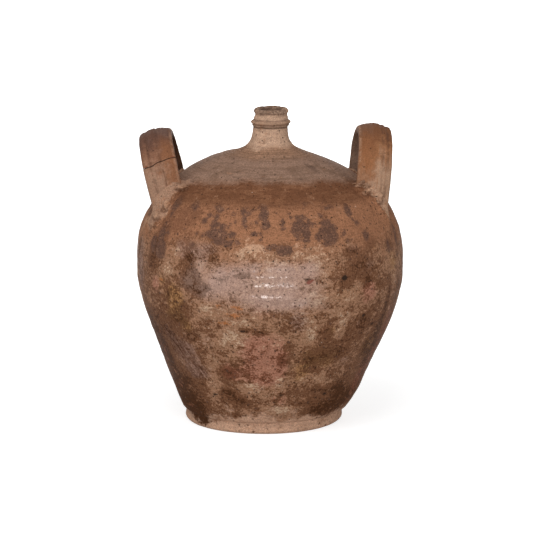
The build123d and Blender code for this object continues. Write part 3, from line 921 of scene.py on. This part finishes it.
def handle_finish(name, inner, brown, tan, foot, top, hollow):
    """Pulled clay strap: brown on the arch, tan down the leg, pale and dragged at its foot.

    inner is 1 or -1, the side of the strap that looks to the neck; hollow is the painted shade of the strap's
    inner face under the arch."""
    clay = Finish(name)
    across = clay.attribute("across")
    path = clay.attribute("along")
    mottle = clay.noise(12.0, 4.0, 0.62, 0.5) - 0.5
    blots = clay.noise(4.6, 4.0, 0.64, 0.4) - 0.5
    flecks = clay.noise(2.0, 3.0, 0.66) - 0.5
    grit = clay.noise(0.9, 2.0, 0.60) - 0.5
    drag_place = clay.node("ShaderNodeCombineXYZ", {}, {0: across * MM, 1: path * (0.05 * MM), 2: 0.0})
    drags = clay.noise(2.2, 4.0, 0.7, 0.0, drag_place) - 0.5
    bands = clay.noise(9.0, 2.0, 0.5, 0.0, drag_place) - 0.5
    outer = 1.0 - clay.step(across * inner, -14.0, 8.0)
    down = path + mottle * 50.0 + bands * 60.0 - 16.0 * outer
    tone = clay.mix(tan, brown, clay.step(down, 16.0, 50.0))
    pale = clay.mix(foot, tan, clay.step(drags + blots * 0.5, -0.02, 0.20) * 0.7)
    tone = clay.mix(pale, tone, clay.step(down, -10.0, 24.0))
    tone = clay.mix(tone, top, clay.step(down + mottle * 60.0, 52.0, 82.0) * 0.8)
    glow = clay.step(across * inner + mottle * 40.0, -4.0, 12.0) * clay.between(path, -36.0, -8.0, 40.0, 70.0)
    tone = clay.mix(tone, STRAP_ORANGE, glow * 0.6)
    # Painted shade on the strap's inner face, under the arch
    tone = clay.mix(tone, hollow, clay.attribute("hollow") * 0.85)
    tone = clay.mix(tone, STRAP_DARK, clay.step(mottle + blots * 0.5, 0.14, 0.28) * 0.4)
    # Finger grooves darkened: dirt and painted shade
    groove_dirt_and_shade = clay.attribute("groove") * clay.step(mottle + drags, -0.12, 0.10)
    tone = clay.mix(tone, STRAP_DARK, groove_dirt_and_shade * 0.55)
    # Pale line along the strap's inner front edge: edge wear and painted highlight
    tone = clay.mix(tone, foot, clay.attribute("rim") * clay.step(blots, -0.14, 0.10) * 0.6)
    tone = clay.shade(tone, 1.0 + flecks * 0.9 + grit * 0.9 + drags * 0.5 + blots * 0.4)
    pits = dots(clay, 8.0, 0.14, 0.35, grit * 0.2)
    tone = clay.mix(tone, PIT_BLACK, pits * 0.6)
    tone = clay.mix(tone, CHIP_RED, clay.step(clay.attribute("chip") + mottle, 0.2, 0.5) * 0.8)
    tone = clay.mix(tone, PIT_BLACK, clay.attribute("crack") * 0.9)
    roughness = 0.70 + flecks * 0.6
    height = grit * 0.35 + flecks * 0.6 + drags * 0.5 + blots * 0.4 - pits * 0.8
    return clay.close(tone, roughness, height, 0.5)


JAR_CLAY = jar_finish("jar_clay", WARM_TAN)
LEFT_ROOT_CLAY = jar_finish("left_root_clay", LEFT_FOOT)
RIGHT_ROOT_CLAY = jar_finish("right_root_clay", RIGHT_FOOT)
LEFT_CLAY = handle_finish("left_handle_clay", 1.0, LEFT_BROWN, LEFT_TAN, LEFT_FOOT, LEFT_MAUVE, LEFT_INSIDE_SHADE)
RIGHT_CLAY = handle_finish(
    "right_handle_clay", -1.0, RIGHT_BROWN, RIGHT_TAN, RIGHT_FOOT, RIGHT_RUST, RIGHT_INSIDE_SHADE
)


# Turned pieces


def turned_piece(name, node, outer, inner, material):
    """A ring of wall: the worked outside, then the plain inside, joined along both seams."""
    outer_points, outer_normals = turn(outer)
    inner_points, inner_normals = turn(inner)
    shaped = np.vstack((
        hand_shape(outer_points, outer_normals),
        hand_shape(inner_points, np.zeros_like(inner_normals)),
    ))
    thrown = np.vstack((outer_points, inner_points))
    faces = sheet_faces(len(outer) + len(inner), AROUND, close_rows=True)
    return make_piece(name, shaped, faces, node, material, jar_fields(thrown))


def jar_fields(points):
    """Stains and tones as fields on the jar's vertices."""
    low_side = smooth(np.abs(points[:, 0]), 30.0, 90.0) * (1.0 - smooth(points[:, 2], 60.0, 150.0))
    return {
        "blotch": stain_depth(points, BLOTCHES + back_blotches()),
        "mark": stain_depth(points, DOME_MARKS),
        "streak": stain_depth(points, STREAKS),
        "crease": stain_depth(points, CREASE),
        "pit": stain_depth(points, BELLY_PITS),
        "scar": stain_depth(points, SCARS),
        "pale": veil(points, PALE + strewn(5, 22, 40.0, 240.0)),
        "dark": veil(points, DARK + strewn(23, 40, 24.0, 240.0)) + 0.3 * low_side,
        # Haze: grey worn glaze and painted sheen
        "haze_and_sheen": veil(points, HAZE_AND_SHEEN + strewn(7, 8, 170.0, 215.0)),
        "mauve": veil(points, MAUVE + strewn(11, 10, 60.0, 200.0)),
        "rosy": veil(points, ROSY + strewn(17, 12, 30.0, 190.0)),
        "ochre": veil(points, OCHRE + strewn(13, 12, 70.0, 210.0)),
        "root": veil(points, SMEARS),
    }


def make_foot():
    foot_outside = outline(FOOT_START, FOOT_SIDE, FOOT_TOP, spacing=1.0)
    foot_outside[-1, 2:] = run(TOE, FLANK, WALL_ROW)[0, 2:]
    disc_edge = Station(FLOOR_RADIUS, 0.0, 90.0)
    disc_rim = Station(FLOOR_RADIUS - FLOOR_BEVEL, FLOOR_THICKNESS, 90.0)
    ground = run(disc_edge, FOOT_START, 1.5)
    outer = np.vstack((ground[:-1], foot_outside))
    inner = run(disc_rim, inside(TOE), 2.0)[::-1]
    turned_piece("foot_ring", "foot_band", outer, inner, JAR_CLAY)


def make_walls():
    seam = inside(BELLY, SEAM_BEVEL)
    outer = outline(TOE, FLANK, BELLY, spacing=WALL_ROW)
    inner = outline(inside(TOE), inside(FLANK), seam, spacing=INNER_ROW)[::-1]
    turned_piece("flaring_wall", "lower_wall", outer, inner, JAR_CLAY)
    outer = outline(BELLY, SHOULDER, DOME_EDGE, spacing=WALL_ROW)
    inner = outline(seam, inside(SHOULDER), inside(DOME_EDGE), spacing=INNER_ROW)[::-1]
    turned_piece("closing_wall", "upper_wall", outer, inner, JAR_CLAY)
    outer = outline(DOME_EDGE, NECK_SEAT, spacing=DOME_ROW)
    inner = outline(inside(DOME_EDGE), inside(NECK_SEAT), spacing=INNER_ROW)[::-1]
    turned_piece("dome", "shoulder_dome", outer, inner, JAR_CLAY)


def make_neck():
    lip = outline(NECK_SEAT, NECK_START, NECK_END, LIP_WAIST, LIP_SIDE, LIP_TOP, spacing=NECK_ROW)
    mouth = outline(LIP_TOP, MOUTH_EDGE, BORE_TOP, spacing=0.6)[1:]
    bore = run(BORE_TOP, BORE_START._replace(lean=180.0), 2.0)[1:]
    throat = run(inside(NECK_SEAT), BORE_START, 3.0)[::-1][1:]
    outer = np.vstack((lip, mouth))
    inner = np.vstack((bore, throat))
    turned_piece("neck_and_lip", "neck", outer, inner, JAR_CLAY)


def make_collar():
    """Bead round the neck: a bulging outside against the neck's straight wall."""
    t = np.linspace(0.0, 1.0, COLLAR_ROWS)
    height = COLLAR_BOTTOM + (COLLAR_TOP - COLLAR_BOTTOM) * t
    bead = np.sin(pi * np.clip((t - 0.24) / 0.76, 0.0, 1.0)) ** 0.8
    thin_ridge = 0.5 * np.sin(pi * np.clip(t / 0.3, 0.0, 1.0)) ** 0.8
    bulge = np.maximum(bead, thin_ridge)
    radius = NECK_START.radius + (COLLAR_RADIUS - NECK_START.radius) * bulge
    outer = np.column_stack((radius, height, np.ones(COLLAR_ROWS), np.zeros(COLLAR_ROWS)))
    inner_radius = NECK_START.radius - COLLAR_SINK
    inner_heights = (COLLAR_TOP - COLLAR_SINK, COLLAR_BOTTOM + COLLAR_SINK)
    inner = np.array([(inner_radius, z, 0.0, 0.0) for z in inner_heights])
    turned_piece("collar_bead", "neck_collar", outer, inner, JAR_CLAY)


def make_floor_disc():
    """Floor of the jar, a bevelled disc with a middle vertex on each face."""
    top_radius = FLOOR_RADIUS - FLOOR_BEVEL
    under = run(Station(FLOOR_EYE, 0.0, 90.0), Station(FLOOR_RADIUS, 0.0, 90.0), 4.0)
    over = run(Station(top_radius, FLOOR_THICKNESS, -90.0), Station(FLOOR_EYE, FLOOR_THICKNESS, -90.0), 8.0)
    rows = np.vstack((under, over))
    points, _ = turn(rows)
    middles = np.array(((0.0, 0.0, 0.0), (0.0, 0.0, FLOOR_THICKNESS)))
    thrown = np.vstack((points, middles))
    shaped = hand_shape(thrown, np.zeros_like(thrown))
    faces = sheet_faces(len(rows), AROUND, close_rows=False)
    last = (len(rows) - 1) * AROUND
    faces += fan(list(range(AROUND)), len(points))
    faces += fan(list(range(last, last + AROUND)), len(points) + 1)
    make_piece("floor", shaped, faces, "floor_disc", JAR_CLAY, jar_fields(thrown))


# Strap handles


class Handle(NamedTuple):
    """One handle's stance, close to its solid's; side is -1 for left and 1 for right."""

    side: int
    reach: float
    height: float
    lean: float
    turn: float
    grooves: tuple


LEFT_HANDLE = Handle(side=-1, reach=125.7, height=296.0, lean=13.0, turn=0.0, grooves=(-10.0, 3.0))
RIGHT_HANDLE = Handle(side=1, reach=119.2, height=300.8, lean=5.5, turn=3.7, grooves=(8.5, 13.5))
ARCH_RADIUS = 57.0
STRAP_WIDTH = 40.0
STRAP_THICKNESS = 13.5
STRAP_CROWN = 5.0
STRAP_EDGE = 2.6
STRAP_OUTER_EDGE = 3.8
CROWN_EDGE = 0.6
GROOVE_DEPTH = 0.9
GROOVE_HALF_WIDTH = 1.8
# Unevenness of a strap: how proud, and the size of its lumps across, through and along
STRAP_DENTS = 0.45
STRAP_DENT_SIZE = 26.0
STRAP_DRAGS = 0.22
STRAP_DRAG_SIZE = (2.4, 60.0, 70.0)
STRAP_PEBBLES = 0.25
STRAP_PEBBLE_SIZE = 8.0
STRAP_COLUMNS = 80
STRAP_ROW = 1.6
# How deep the ends of the legs sit in the jar's wall
FOOT_SINK = 4.0
LONGEST_LEG = 115.0
HALVINGS = 40
# Size of the inset ring that closes a strap's end, as a share of the end
CAP_INSET = 0.8


def rounded(corners, edges):
    """Closed line through corners, each rounded by its own edge length."""
    line = []
    for i, corner in enumerate(corners):
        before = corners[i - 1] - corner
        after = corners[(i + 1) % len(corners)] - corner
        start = corner + before / np.linalg.norm(before) * edges[i]
        end = corner + after / np.linalg.norm(after) * edges[i]
        for t in np.linspace(0.0, 1.0, 9):
            line.append((1 - t) ** 2 * start + 2 * t * (1 - t) * corner + t * t * end)
    return np.array(line)


def evenly(line, count):
    """A closed line drawn again with points at even steps."""
    closed = np.vstack((line, line[:1]))
    length = np.concatenate(([0.0], np.cumsum(np.linalg.norm(np.diff(closed, axis=0), axis=1))))
    where = np.linspace(0.0, length[-1], count, endpoint=False)
    return np.column_stack([np.interp(where, length, closed[:, axis]) for axis in (0, 1)])


def strap_section(handle):
    """Strap cut across: points of across and depth, and their outward normals."""
    half = STRAP_WIDTH / 2
    crown = np.array([(x, STRAP_CROWN * (x / half) ** 2) for x in np.linspace(-half, half, 9)])
    corners = np.vstack((crown, ((half, STRAP_THICKNESS), (-half, STRAP_THICKNESS))))
    front_edges = [STRAP_EDGE] + [CROWN_EDGE] * (len(crown) - 2) + [STRAP_EDGE]
    front_edges[0 if handle.side < 0 else -1] = STRAP_OUTER_EDGE
    edges = front_edges + [STRAP_EDGE, STRAP_EDGE]
    section = evenly(rounded(corners, edges), STRAP_COLUMNS)
    ahead = np.roll(section, -1, axis=0) - np.roll(section, 1, axis=0)
    ahead /= np.linalg.norm(ahead, axis=1, keepdims=True)
    normals = np.column_stack((ahead[:, 1], -ahead[:, 0]))
    return section, normals


def stance(handle):
    """The handle's centre and its axes: across, through and up, as columns."""
    turned = Euler((0.0, 0.0, radians(handle.turn))).to_matrix()
    leaned = Euler((0.0, radians(handle.side * handle.lean), 0.0)).to_matrix()
    centre = np.array((handle.side * handle.reach, 0.0, handle.height))
    return centre, np.array(turned @ leaned)


def leg_foot(handle, across, through):
    """How far below the handle's centre a leg's line meets the jar."""
    centre, axes = stance(handle)
    low = np.full(len(across), -LONGEST_LEG)
    high = np.zeros(len(across))
    for _ in range(HALVINGS):
        middle = (low + high) / 2
        spot = centre + np.column_stack((across, through, middle)) @ axes.T
        outside = spot[:, 2] > shoulder_height(np.hypot(spot[:, 0], spot[:, 1]))
        high = np.where(outside, middle, high)
        low = np.where(outside, low, middle)
    return (low + high) / 2


def strap_line(handle, across, depth):
    """How far the front leg and the back leg run below the arch's centre, for each point of the section."""
    through = ARCH_RADIUS - depth
    front = leg_foot(handle, across, -through) - FOOT_SINK
    back = leg_foot(handle, across, through) - FOOT_SINK
    return front, back


def groove_depth(handle, across, path):
    """1 in the middle of the finger grooves along a strap, 0 away from them."""
    depth = np.zeros(len(across))
    for groove in handle.grooves:
        wander = 1.2 * np.sin(path / 40.0 + groove)
        depth = np.maximum(depth, np.exp(-(((across - groove - wander) / GROOVE_HALF_WIDTH) ** 2)))
    return depth


def strap_points(handle, rows, section, normals):
    """Points of the strap for rows of path places, one place per section point.

    A path place is a distance: below 0 down the front leg, above the arch's length
    down the back leg, and round the arch between."""
    centre, axes = stance(handle)
    arch_length = pi * ARCH_RADIUS
    across, depth = section.T
    points = []
    strap_places = []
    for places in rows:
        angle = np.clip(places, 0.0, arch_length) / ARCH_RADIUS
        below = np.where(places < 0.0, places, np.minimum(0.0, arch_length - places))
        lump = np.column_stack((across, depth, places))
        push = STRAP_DENTS * grain(lump, STRAP_DENT_SIZE, 21 + handle.side)
        push += STRAP_DRAGS * grain(lump, STRAP_DRAG_SIZE, 31)
        push += STRAP_PEBBLES * grain(lump, STRAP_PEBBLE_SIZE, 33)
        push -= GROOVE_DEPTH * smooth(-normals[:, 1], 0.3, 0.8) * groove_depth(handle, across, places)
        wide = across + normals[:, 0] * push
        deep = depth + normals[:, 1] * push
        radius = ARCH_RADIUS - deep
        local = np.column_stack((wide, -radius * np.cos(angle), radius * np.sin(angle) + below))
        points.append(centre + local @ axes.T)
        strap_places.append(lump)
    return np.vstack(points), np.vstack(strap_places)


def strap_piece(name, node, handle, starts, ends, start_cap, end_cap):
    """A length of strap between two sets of path places, closed at both ends."""
    section, normals = strap_section(handle)
    length = np.mean(ends - starts)
    even = np.linspace(0.0, 1.0, round(length / STRAP_ROW))[1:-1]
    near = CRACK_DARK_WIDTH / length
    shares = np.concatenate(([0.0, near], even, [1.0 - near, 1.0]))
    count = len(shares)
    rows = [starts + (ends - starts) * share for share in shares]
    points, places = strap_points(handle, rows, section, normals)
    faces = sheet_faces(count, STRAP_COLUMNS, close_rows=False)
    for first, cap in ((0, start_cap), ((count - 1) * STRAP_COLUMNS, end_cap)):
        ring = list(range(first, first + STRAP_COLUMNS))
        middle = points[ring].mean(axis=0)
        inset = middle + (points[ring] - middle) * CAP_INSET + cap
        base = len(points)
        points = np.vstack((points, inset, inset.mean(axis=0)))
        places = np.vstack((places, places[ring], places[ring].mean(axis=0)))
        around = list(range(base, base + STRAP_COLUMNS))
        faces += [
            [ring[i], ring[(i + 1) % STRAP_COLUMNS], around[(i + 1) % STRAP_COLUMNS], around[i]]
            for i in range(STRAP_COLUMNS)
        ]
        faces += fan(around, base + STRAP_COLUMNS)
    across, depth, path = places.T
    inner_corner = np.hypot(across + handle.side * STRAP_WIDTH / 2, depth - STRAP_CROWN)
    fields = {
        "across": across, "along": leg_distance(path), "groove": groove_depth(handle, across, path),
        "rim": 1.0 - smooth(inner_corner, 1.5, 4.0), "hollow": smooth(depth, 10.0, 12.5),
        "crack": crack_darkening(handle, places), "chip": crack_chips(handle, places),
    }
    make_piece(name, points, faces, node, handle_clay(handle), fields)


BREAK_ANGLE = 25.0
BREAK_SKEW = 9.0
BREAK_GAP = 0.5
# How far the break climbs for each millimetre into the strap
BREAK_SLOPE = 0.35
# Jags along the break: how high, and how long
COARSE_JAG = 0.9
COARSE_JAG_LENGTH = 6.5
FINE_JAG = 0.35
FINE_JAG_LENGTH = 2.3
# How far the darkening along the break reaches
CRACK_DARK_WIDTH = 0.7
# Chips along the break: place across the strap, half width
BREAK_CHIPS = ((-15.5, 3.0), (17.0, 3.5))


def break_line(across, depth):
    """Path place of the old break across the left handle's front leg."""
    jag = COARSE_JAG * np.sin(across / COARSE_JAG_LENGTH + 0.9)
    jag += FINE_JAG * np.sin(across / FINE_JAG_LENGTH + 2.0)
    slant = across * np.tan(radians(BREAK_SKEW)) + BREAK_SLOPE * (depth - STRAP_THICKNESS / 2)
    return ARCH_RADIUS * radians(BREAK_ANGLE) + slant + jag


def crack_darkening(handle, places):
    """1 in the old break of the left handle, 0 away from it."""
    if handle.side > 0:
        return np.zeros(len(places))
    across, depth, path = places.T
    return 1.0 - smooth(np.abs(path - break_line(across, depth)), BREAK_GAP / 2, CRACK_DARK_WIDTH)


def crack_chips(handle, places):
    """1 where the old break's upper edge is chipped down to red clay, 0 elsewhere."""
    across, depth, path = places.T
    above = path - break_line(across, depth)
    chipped = np.zeros(len(places))
    if handle.side < 0:
        for middle, half in BREAK_CHIPS:
            chipped = np.maximum(chipped, 1.0 - np.hypot((across - middle) / half, (above - 1.5) / 2.5))
    return chipped


def leg_distance(path):
    """Path place measured from the nearer end of the arch: below 0 on both legs."""
    return np.minimum(path, pi * ARCH_RADIUS - path)


def handle_clay(handle):
    return LEFT_CLAY if handle.side < 0 else RIGHT_CLAY


def make_handles():
    arch_length = pi * ARCH_RADIUS
    nothing = np.zeros(3)
    section, _ = strap_section(RIGHT_HANDLE)
    front, back = strap_line(RIGHT_HANDLE, *section.T)
    strap_piece("right_strap", "right_handle", RIGHT_HANDLE, front, arch_length - back, nothing, nothing)

    section, _ = strap_section(LEFT_HANDLE)
    front, back = strap_line(LEFT_HANDLE, *section.T)
    crack = break_line(*section.T)
    _, axes = stance(LEFT_HANDLE)
    lift = axes[:, 2] * BREAK_GAP / 2
    strap_piece(
        "left_strap_stub", "left_handle_stub", LEFT_HANDLE, front, crack - BREAK_GAP / 2, nothing, lift
    )
    strap_piece(
        "left_strap_arch", "left_handle_arch", LEFT_HANDLE, crack + BREAK_GAP / 2, arch_length - back,
        -lift, nothing,
    )


# Roots: clay pressed round each leg

# How far a root's underside lies under its upper side, inside the jar's wall
ROOT_UNDER = 4.0
# Rows of a root, as shares of its reach: from inside the leg out to the rim
ROOT_STEPS = np.concatenate(([-0.25, 0.0, 0.02, 0.04, 0.07], np.linspace(0.1, 1.0, 43)))
# How far a root reaches from its leg: all round, less on the inner side, more in front and on the outer half
ROOT_REACH = 6.0
ROOT_INNER_LOSS = 3.0
ROOT_FRONT_REACH = 2.5
ROOT_OUTER_REACH = 14.5
# How far it climbs its leg, in the same places
ROOT_CLIMB = 4.0
ROOT_INNER_DROP = 2.5
ROOT_OUTER_CLIMB = 6.0
# How steeply it falls away from the leg, and how far its rim dips into the wall
ROOT_FALL = 2.6
RIM_DIP = 0.6
# The fin at the strap's inner edge, and the share of the climb that is notched away above it
FIN_HALF_WIDTH = 3.5
FIN_NOTCH_HALF_WIDTH = 6.0
FIN_NOTCH = 0.85
LIP_WAVE = 3.1
# The way a root's surface faces, and the way its lumps stand out: along that, and straight ahead
ROOT_FACING_SIDE = 0.75
ROOT_FACING_UP = 0.66
LUMP_ALONG = 0.6
LUMP_AHEAD = 0.75
FULL_LUMP = 4.0
# Unevenness of a root: how proud, and the size of its lumps
ROOT_PEBBLES = 0.4
ROOT_PEBBLE_SIZE = 6.0
ROOT_CRUMBS = 0.25
ROOT_CRUMB_SIZE = 3.0


class Lump(NamedTuple):
    """Clay pushed up by a finger on a front root, or pressed in where proud is below 0.

    Its place as seen from the front, its half sizes, and how far it stands out."""

    side: float
    height: float
    wide: float
    tall: float
    proud: float


class Root(NamedTuple):
    """How a root was pressed on.

    Its rim's thickness; the length of the fin at the strap's inner edge and how far back the fin sits;
    how far it climbs the strap; the lip on the strap; how far its pale smear runs; the smear's share on
    the inner half; its finger lumps."""

    rim: float
    fin: float
    fin_back: float
    climb: float
    lip: float
    smear: float
    inner_share: float
    lumps: tuple


LEFT_FRONT = Root(
    rim=1.8, fin=14.0, fin_back=1.0, climb=5.0, lip=0.3, smear=0.85, inner_share=0.8,
    lumps=(
        Lump(-120, 270, 5.2, 6.4, 4.8), Lump(-133, 257, 4.2, 5.6, 4.2), Lump(-126, 265, 2.6, 3.0, -3.0),
        Lump(-101, 287, 10.0, 3.0, 5.5), Lump(-113, 279, 3.4, 4.0, 2.4), Lump(-100, 281, 9.0, 2.4, -2.0),
        Lump(-136, 245, 6.0, 2.0, 1.6),
    ),
)
RIGHT_FRONT = Root(
    rim=0.5, fin=16.0, fin_back=3.5, climb=8.0, lip=0.8, smear=0.34, inner_share=0.6,
    lumps=(
        Lump(97, 298, 6.0, 2.8, 4.5), Lump(108, 297, 6.0, 2.6, 3.6), Lump(116, 292.5, 6.0, 2.2, 2.6),
        Lump(113, 285, 4.8, 4.2, 4.4), Lump(129, 277, 3.6, 6.4, 4.2), Lump(105, 291.5, 9.0, 1.8, -1.6),
        Lump(121, 281, 2.6, 2.6, -2.0),
    ),
)
LEFT_BACK = LEFT_FRONT._replace(lumps=())
RIGHT_BACK = RIGHT_FRONT._replace(lumps=())


def root_spread(handle, root, section, normals):
    """For each point of the section: how far the root reaches out, how far it climbs, and the outer half."""
    across, depth = section.T
    facing_out = smooth(-normals[:, 1], 0.0, 1.0)
    outer_half = smooth(handle.side * across, -STRAP_WIDTH / 2, STRAP_WIDTH / 2)
    inner_side = smooth(-handle.side * normals[:, 0], 0.4, 0.9)
    inner_corner = np.hypot(across + handle.side * STRAP_WIDTH / 2, depth - STRAP_CROWN - root.fin_back)
    fin = np.exp(-((inner_corner / FIN_HALF_WIDTH) ** 2))
    notch = np.exp(-((inner_corner / FIN_NOTCH_HALF_WIDTH) ** 2))
    reach = ROOT_REACH - ROOT_INNER_LOSS * inner_side + root.fin * fin
    reach += facing_out * (ROOT_FRONT_REACH + ROOT_OUTER_REACH * outer_half)
    climb = ROOT_CLIMB - ROOT_INNER_DROP * inner_side
    climb += facing_out * (root.climb + ROOT_OUTER_CLIMB * outer_half)
    climb = climb * (1.0 - FIN_NOTCH * notch) + root.lip * np.sin(across / LIP_WAVE)
    return reach, climb, outer_half


def root_top(handle, front, root, reach, climb):
    """Points of a root's upper side, row after row from inside the leg out to the rim."""
    section, normals = strap_section(handle)
    across, depth = section.T
    centre, axes = stance(handle)
    rows = []
    for step in ROOT_STEPS:
        out = max(step, 0.0)
        offset = reach * step + root.lip * between(out, 0.0, 0.04, 0.04, 0.40)
        wide = across + normals[:, 0] * offset
        deep = depth + normals[:, 1] * offset
        through = front * (ARCH_RADIUS - deep)
        rim = root.rim * (1.0 - smooth(out, 0.84, 1.0))
        rise = climb * (1.0 - out) ** ROOT_FALL + rim - RIM_DIP * out ** 2
        local = np.column_stack((wide, through, leg_foot(handle, wide, through) + rise))
        rows.append(centre + local @ axes.T)
    return np.vstack(rows)


def finger_lumps(points, lumps):
    """How far lumps push each point out, and where their painted highlights on the tops and painted shadows
    along the lower edges go.
    """
    proud = np.zeros(len(points))
    painted_lump_highlight = np.zeros(len(points))
    painted_lump_shadow = np.zeros(len(points))
    for lump in lumps:
        sideways = (points[:, 0] - lump.side) / lump.wide
        upward = (points[:, 2] - lump.height) / lump.tall
        close = 1.0 - np.hypot(sideways, upward)
        proud += lump.proud * smooth(close, -0.1, 0.45)
        painted_lump_highlight = np.maximum(painted_lump_highlight, smooth(close, 0.0, 0.5) * np.clip(lump.proud / FULL_LUMP, 0.0, 1.0))
        edge = between(close, -0.6, -0.1, -0.1, 0.25)
        painted_lump_shadow = np.maximum(painted_lump_shadow, edge * smooth(-upward, -0.2, 0.7))
    return proud, painted_lump_highlight, painted_lump_shadow


def there_and_back(values):
    """Values of a root's upper side, then the same in reverse for its underside."""
    return np.concatenate((values, values[::-1]))


def root_piece(name, node, handle, front, root):
    """Fillet of clay round one leg's foot, drawn down on its outer side, with finger lumps."""
    reach, climb, outer_half = root_spread(handle, root, *strap_section(handle))
    top = root_top(handle, front, root, reach, climb)
    spread = np.repeat(ROOT_STEPS, STRAP_COLUMNS)
    fade = 1.0 - smooth(spread, 0.85, 1.0)
    normal = top * np.array((1.0, 1.0, 0.0))
    normal *= ROOT_FACING_SIDE / np.linalg.norm(normal, axis=1, keepdims=True)
    normal[:, 2] = ROOT_FACING_UP
    outward = LUMP_ALONG * normal + np.array((0.0, LUMP_AHEAD * front, 0.0))
    push = ROOT_PEBBLES * grain(top, ROOT_PEBBLE_SIZE, 51) + ROOT_CRUMBS * grain(top, ROOT_CRUMB_SIZE, 53)
    proud, painted_lump_highlight, painted_lump_shadow = finger_lumps(top, root.lumps)
    shaped = hand_shape(top, normal) + normal * (push * fade)[:, None] + outward * (proud * fade)[:, None]
    under = shaped - normal * ROOT_UNDER
    faces = sheet_faces(2 * len(ROOT_STEPS), STRAP_COLUMNS, close_rows=True)
    share = root.inner_share + (1.0 - root.inner_share) * np.tile(outer_half, len(ROOT_STEPS))
    smeared = share * (1.0 - smooth(spread, 0.5 * root.smear, root.smear))
    fields = jar_fields(there_and_back(top))
    fields["root"] = np.maximum(fields["root"], there_and_back(smeared))
    fields["painted_lump_shadow"] = there_and_back(painted_lump_shadow * fade)
    fields["painted_lump_highlight"] = there_and_back(painted_lump_highlight * fade)
    clay = LEFT_ROOT_CLAY if handle.side < 0 else RIGHT_ROOT_CLAY
    make_piece(name, np.vstack((shaped, under[::-1])), faces, node, clay, fields)


def make_roots():
    root_piece("left_front_wad", "left_front_root", LEFT_HANDLE, -1, LEFT_FRONT)
    root_piece("left_back_wad", "left_back_root", LEFT_HANDLE, 1, LEFT_BACK)
    root_piece("right_front_wad", "right_front_root", RIGHT_HANDLE, -1, RIGHT_FRONT)
    root_piece("right_back_wad", "right_back_root", RIGHT_HANDLE, 1, RIGHT_BACK)


# Floor, light and camera

WHITE = colour(1.0, 1.0, 1.0)
PAPER_GREY = colour(0.5, 0.5, 0.5)
PAPER_SIZE = 24.0
# Glow of the paper where it is seen: near the jar, where its shadow shows, and further away
PAPER_GLOW_NEAR = 0.76
PAPER_GLOW_FAR = 1.0
ROOM_LIGHT = 0.38
LAMP_AIM = (0.0, 0.0, 0.2)


def shown_white(nodes):
    """1 for the camera's own rays and for rays that a surface mirrors or lets through."""
    kinds = ("Is Camera Ray", "Is Glossy Ray", "Is Transmission Ray")
    camera, mirrored, passed = (nodes.node("ShaderNodeLightPath", out=kind) for kind in kinds)
    return camera.maths("MAXIMUM", camera, mirrored.maths("MAXIMUM", mirrored, passed))


def make_stage():
    bpy.ops.mesh.primitive_plane_add(size=PAPER_SIZE, location=(0.0, 0.0, 0.0))
    ground = bpy.context.object
    ground.name = "studio_floor"
    paper = Finish("white_paper")
    seen = shown_white(paper)
    away = paper.node("ShaderNodeVectorMath", {"operation": "LENGTH"}, {0: paper.place}, "Value")
    glow_gain = PAPER_GLOW_FAR - PAPER_GLOW_NEAR
    lift = seen * (PAPER_GLOW_NEAR + glow_gain * paper.step(away, 0.20, 0.70))
    matt = paper.node("ShaderNodeBsdfDiffuse", {}, {"Color": PAPER_GREY})
    glow = paper.node("ShaderNodeEmission", {}, {"Color": WHITE, "Strength": lift})
    both = paper.node("ShaderNodeAddShader", {}, {0: matt, 1: glow})
    paper.node("ShaderNodeOutputMaterial", {}, {"Surface": both})
    ground.data.materials.append(paper.material)

    world = bpy.data.worlds.new("white_room")
    bpy.context.scene.world = world
    room = Nodes(world)
    strength = ROOM_LIGHT + (1.0 - ROOM_LIGHT) * shown_white(room)
    light = room.node("ShaderNodeBackground", {}, {"Color": WHITE, "Strength": strength})
    room.node("ShaderNodeOutputWorld", {}, {"Surface": light})


def softbox(name, place, wide, tall, power):
    """A flat lamp that faces the jar's middle."""
    lamp = bpy.data.lights.new(name, "AREA")
    lamp.shape = "RECTANGLE"
    lamp.size = wide
    lamp.size_y = tall
    lamp.energy = power
    holder = bpy.data.objects.new(name, lamp)
    holder.location = place
    aim = Vector(LAMP_AIM) - Vector(place)
    holder.rotation_euler = aim.to_track_quat("-Z", "Y").to_euler()
    bpy.context.scene.collection.objects.link(holder)


def make_lights():
    softbox("front_box", place=(0.0, -3.2, 0.16), wide=1.7, tall=0.30, power=39.0)
    softbox("top_box", place=(-0.3, -1.2, 2.2), wide=1.2, tall=1.2, power=25.0)
    softbox("left_box", place=(-2.6, -1.0, 0.7), wide=0.9, tall=1.2, power=10.5)
    softbox("right_box", place=(2.6, -1.0, 0.7), wide=0.9, tall=1.2, power=8.0)
    softbox("back_box", place=(0.0, 3.2, 0.5), wide=1.7, tall=0.8, power=32.0)


CAMERA_EYE = (0.0, -3.0, 0.75)
CAMERA_AIM = (0.0, 0.0, 0.17964)
CAMERA_LENS = 169.1
CAMERA_SENSOR = 36.0


def make_camera():
    lens = bpy.data.cameras.new("photo_camera")
    lens.lens = CAMERA_LENS
    lens.sensor_width = CAMERA_SENSOR
    camera = bpy.data.objects.new("photo_camera", lens)
    camera.location = CAMERA_EYE
    look = Vector(CAMERA_AIM) - Vector(CAMERA_EYE)
    camera.rotation_euler = look.to_track_quat("-Z", "Y").to_euler()
    bpy.context.scene.collection.objects.link(camera)
    bpy.context.scene.camera = camera
    bpy.context.scene.view_settings.view_transform = "Standard"


make_camera()
make_stage()
make_lights()
make_foot()
make_walls()
make_neck()
make_collar()
make_floor_disc()
make_handles()
make_roots()
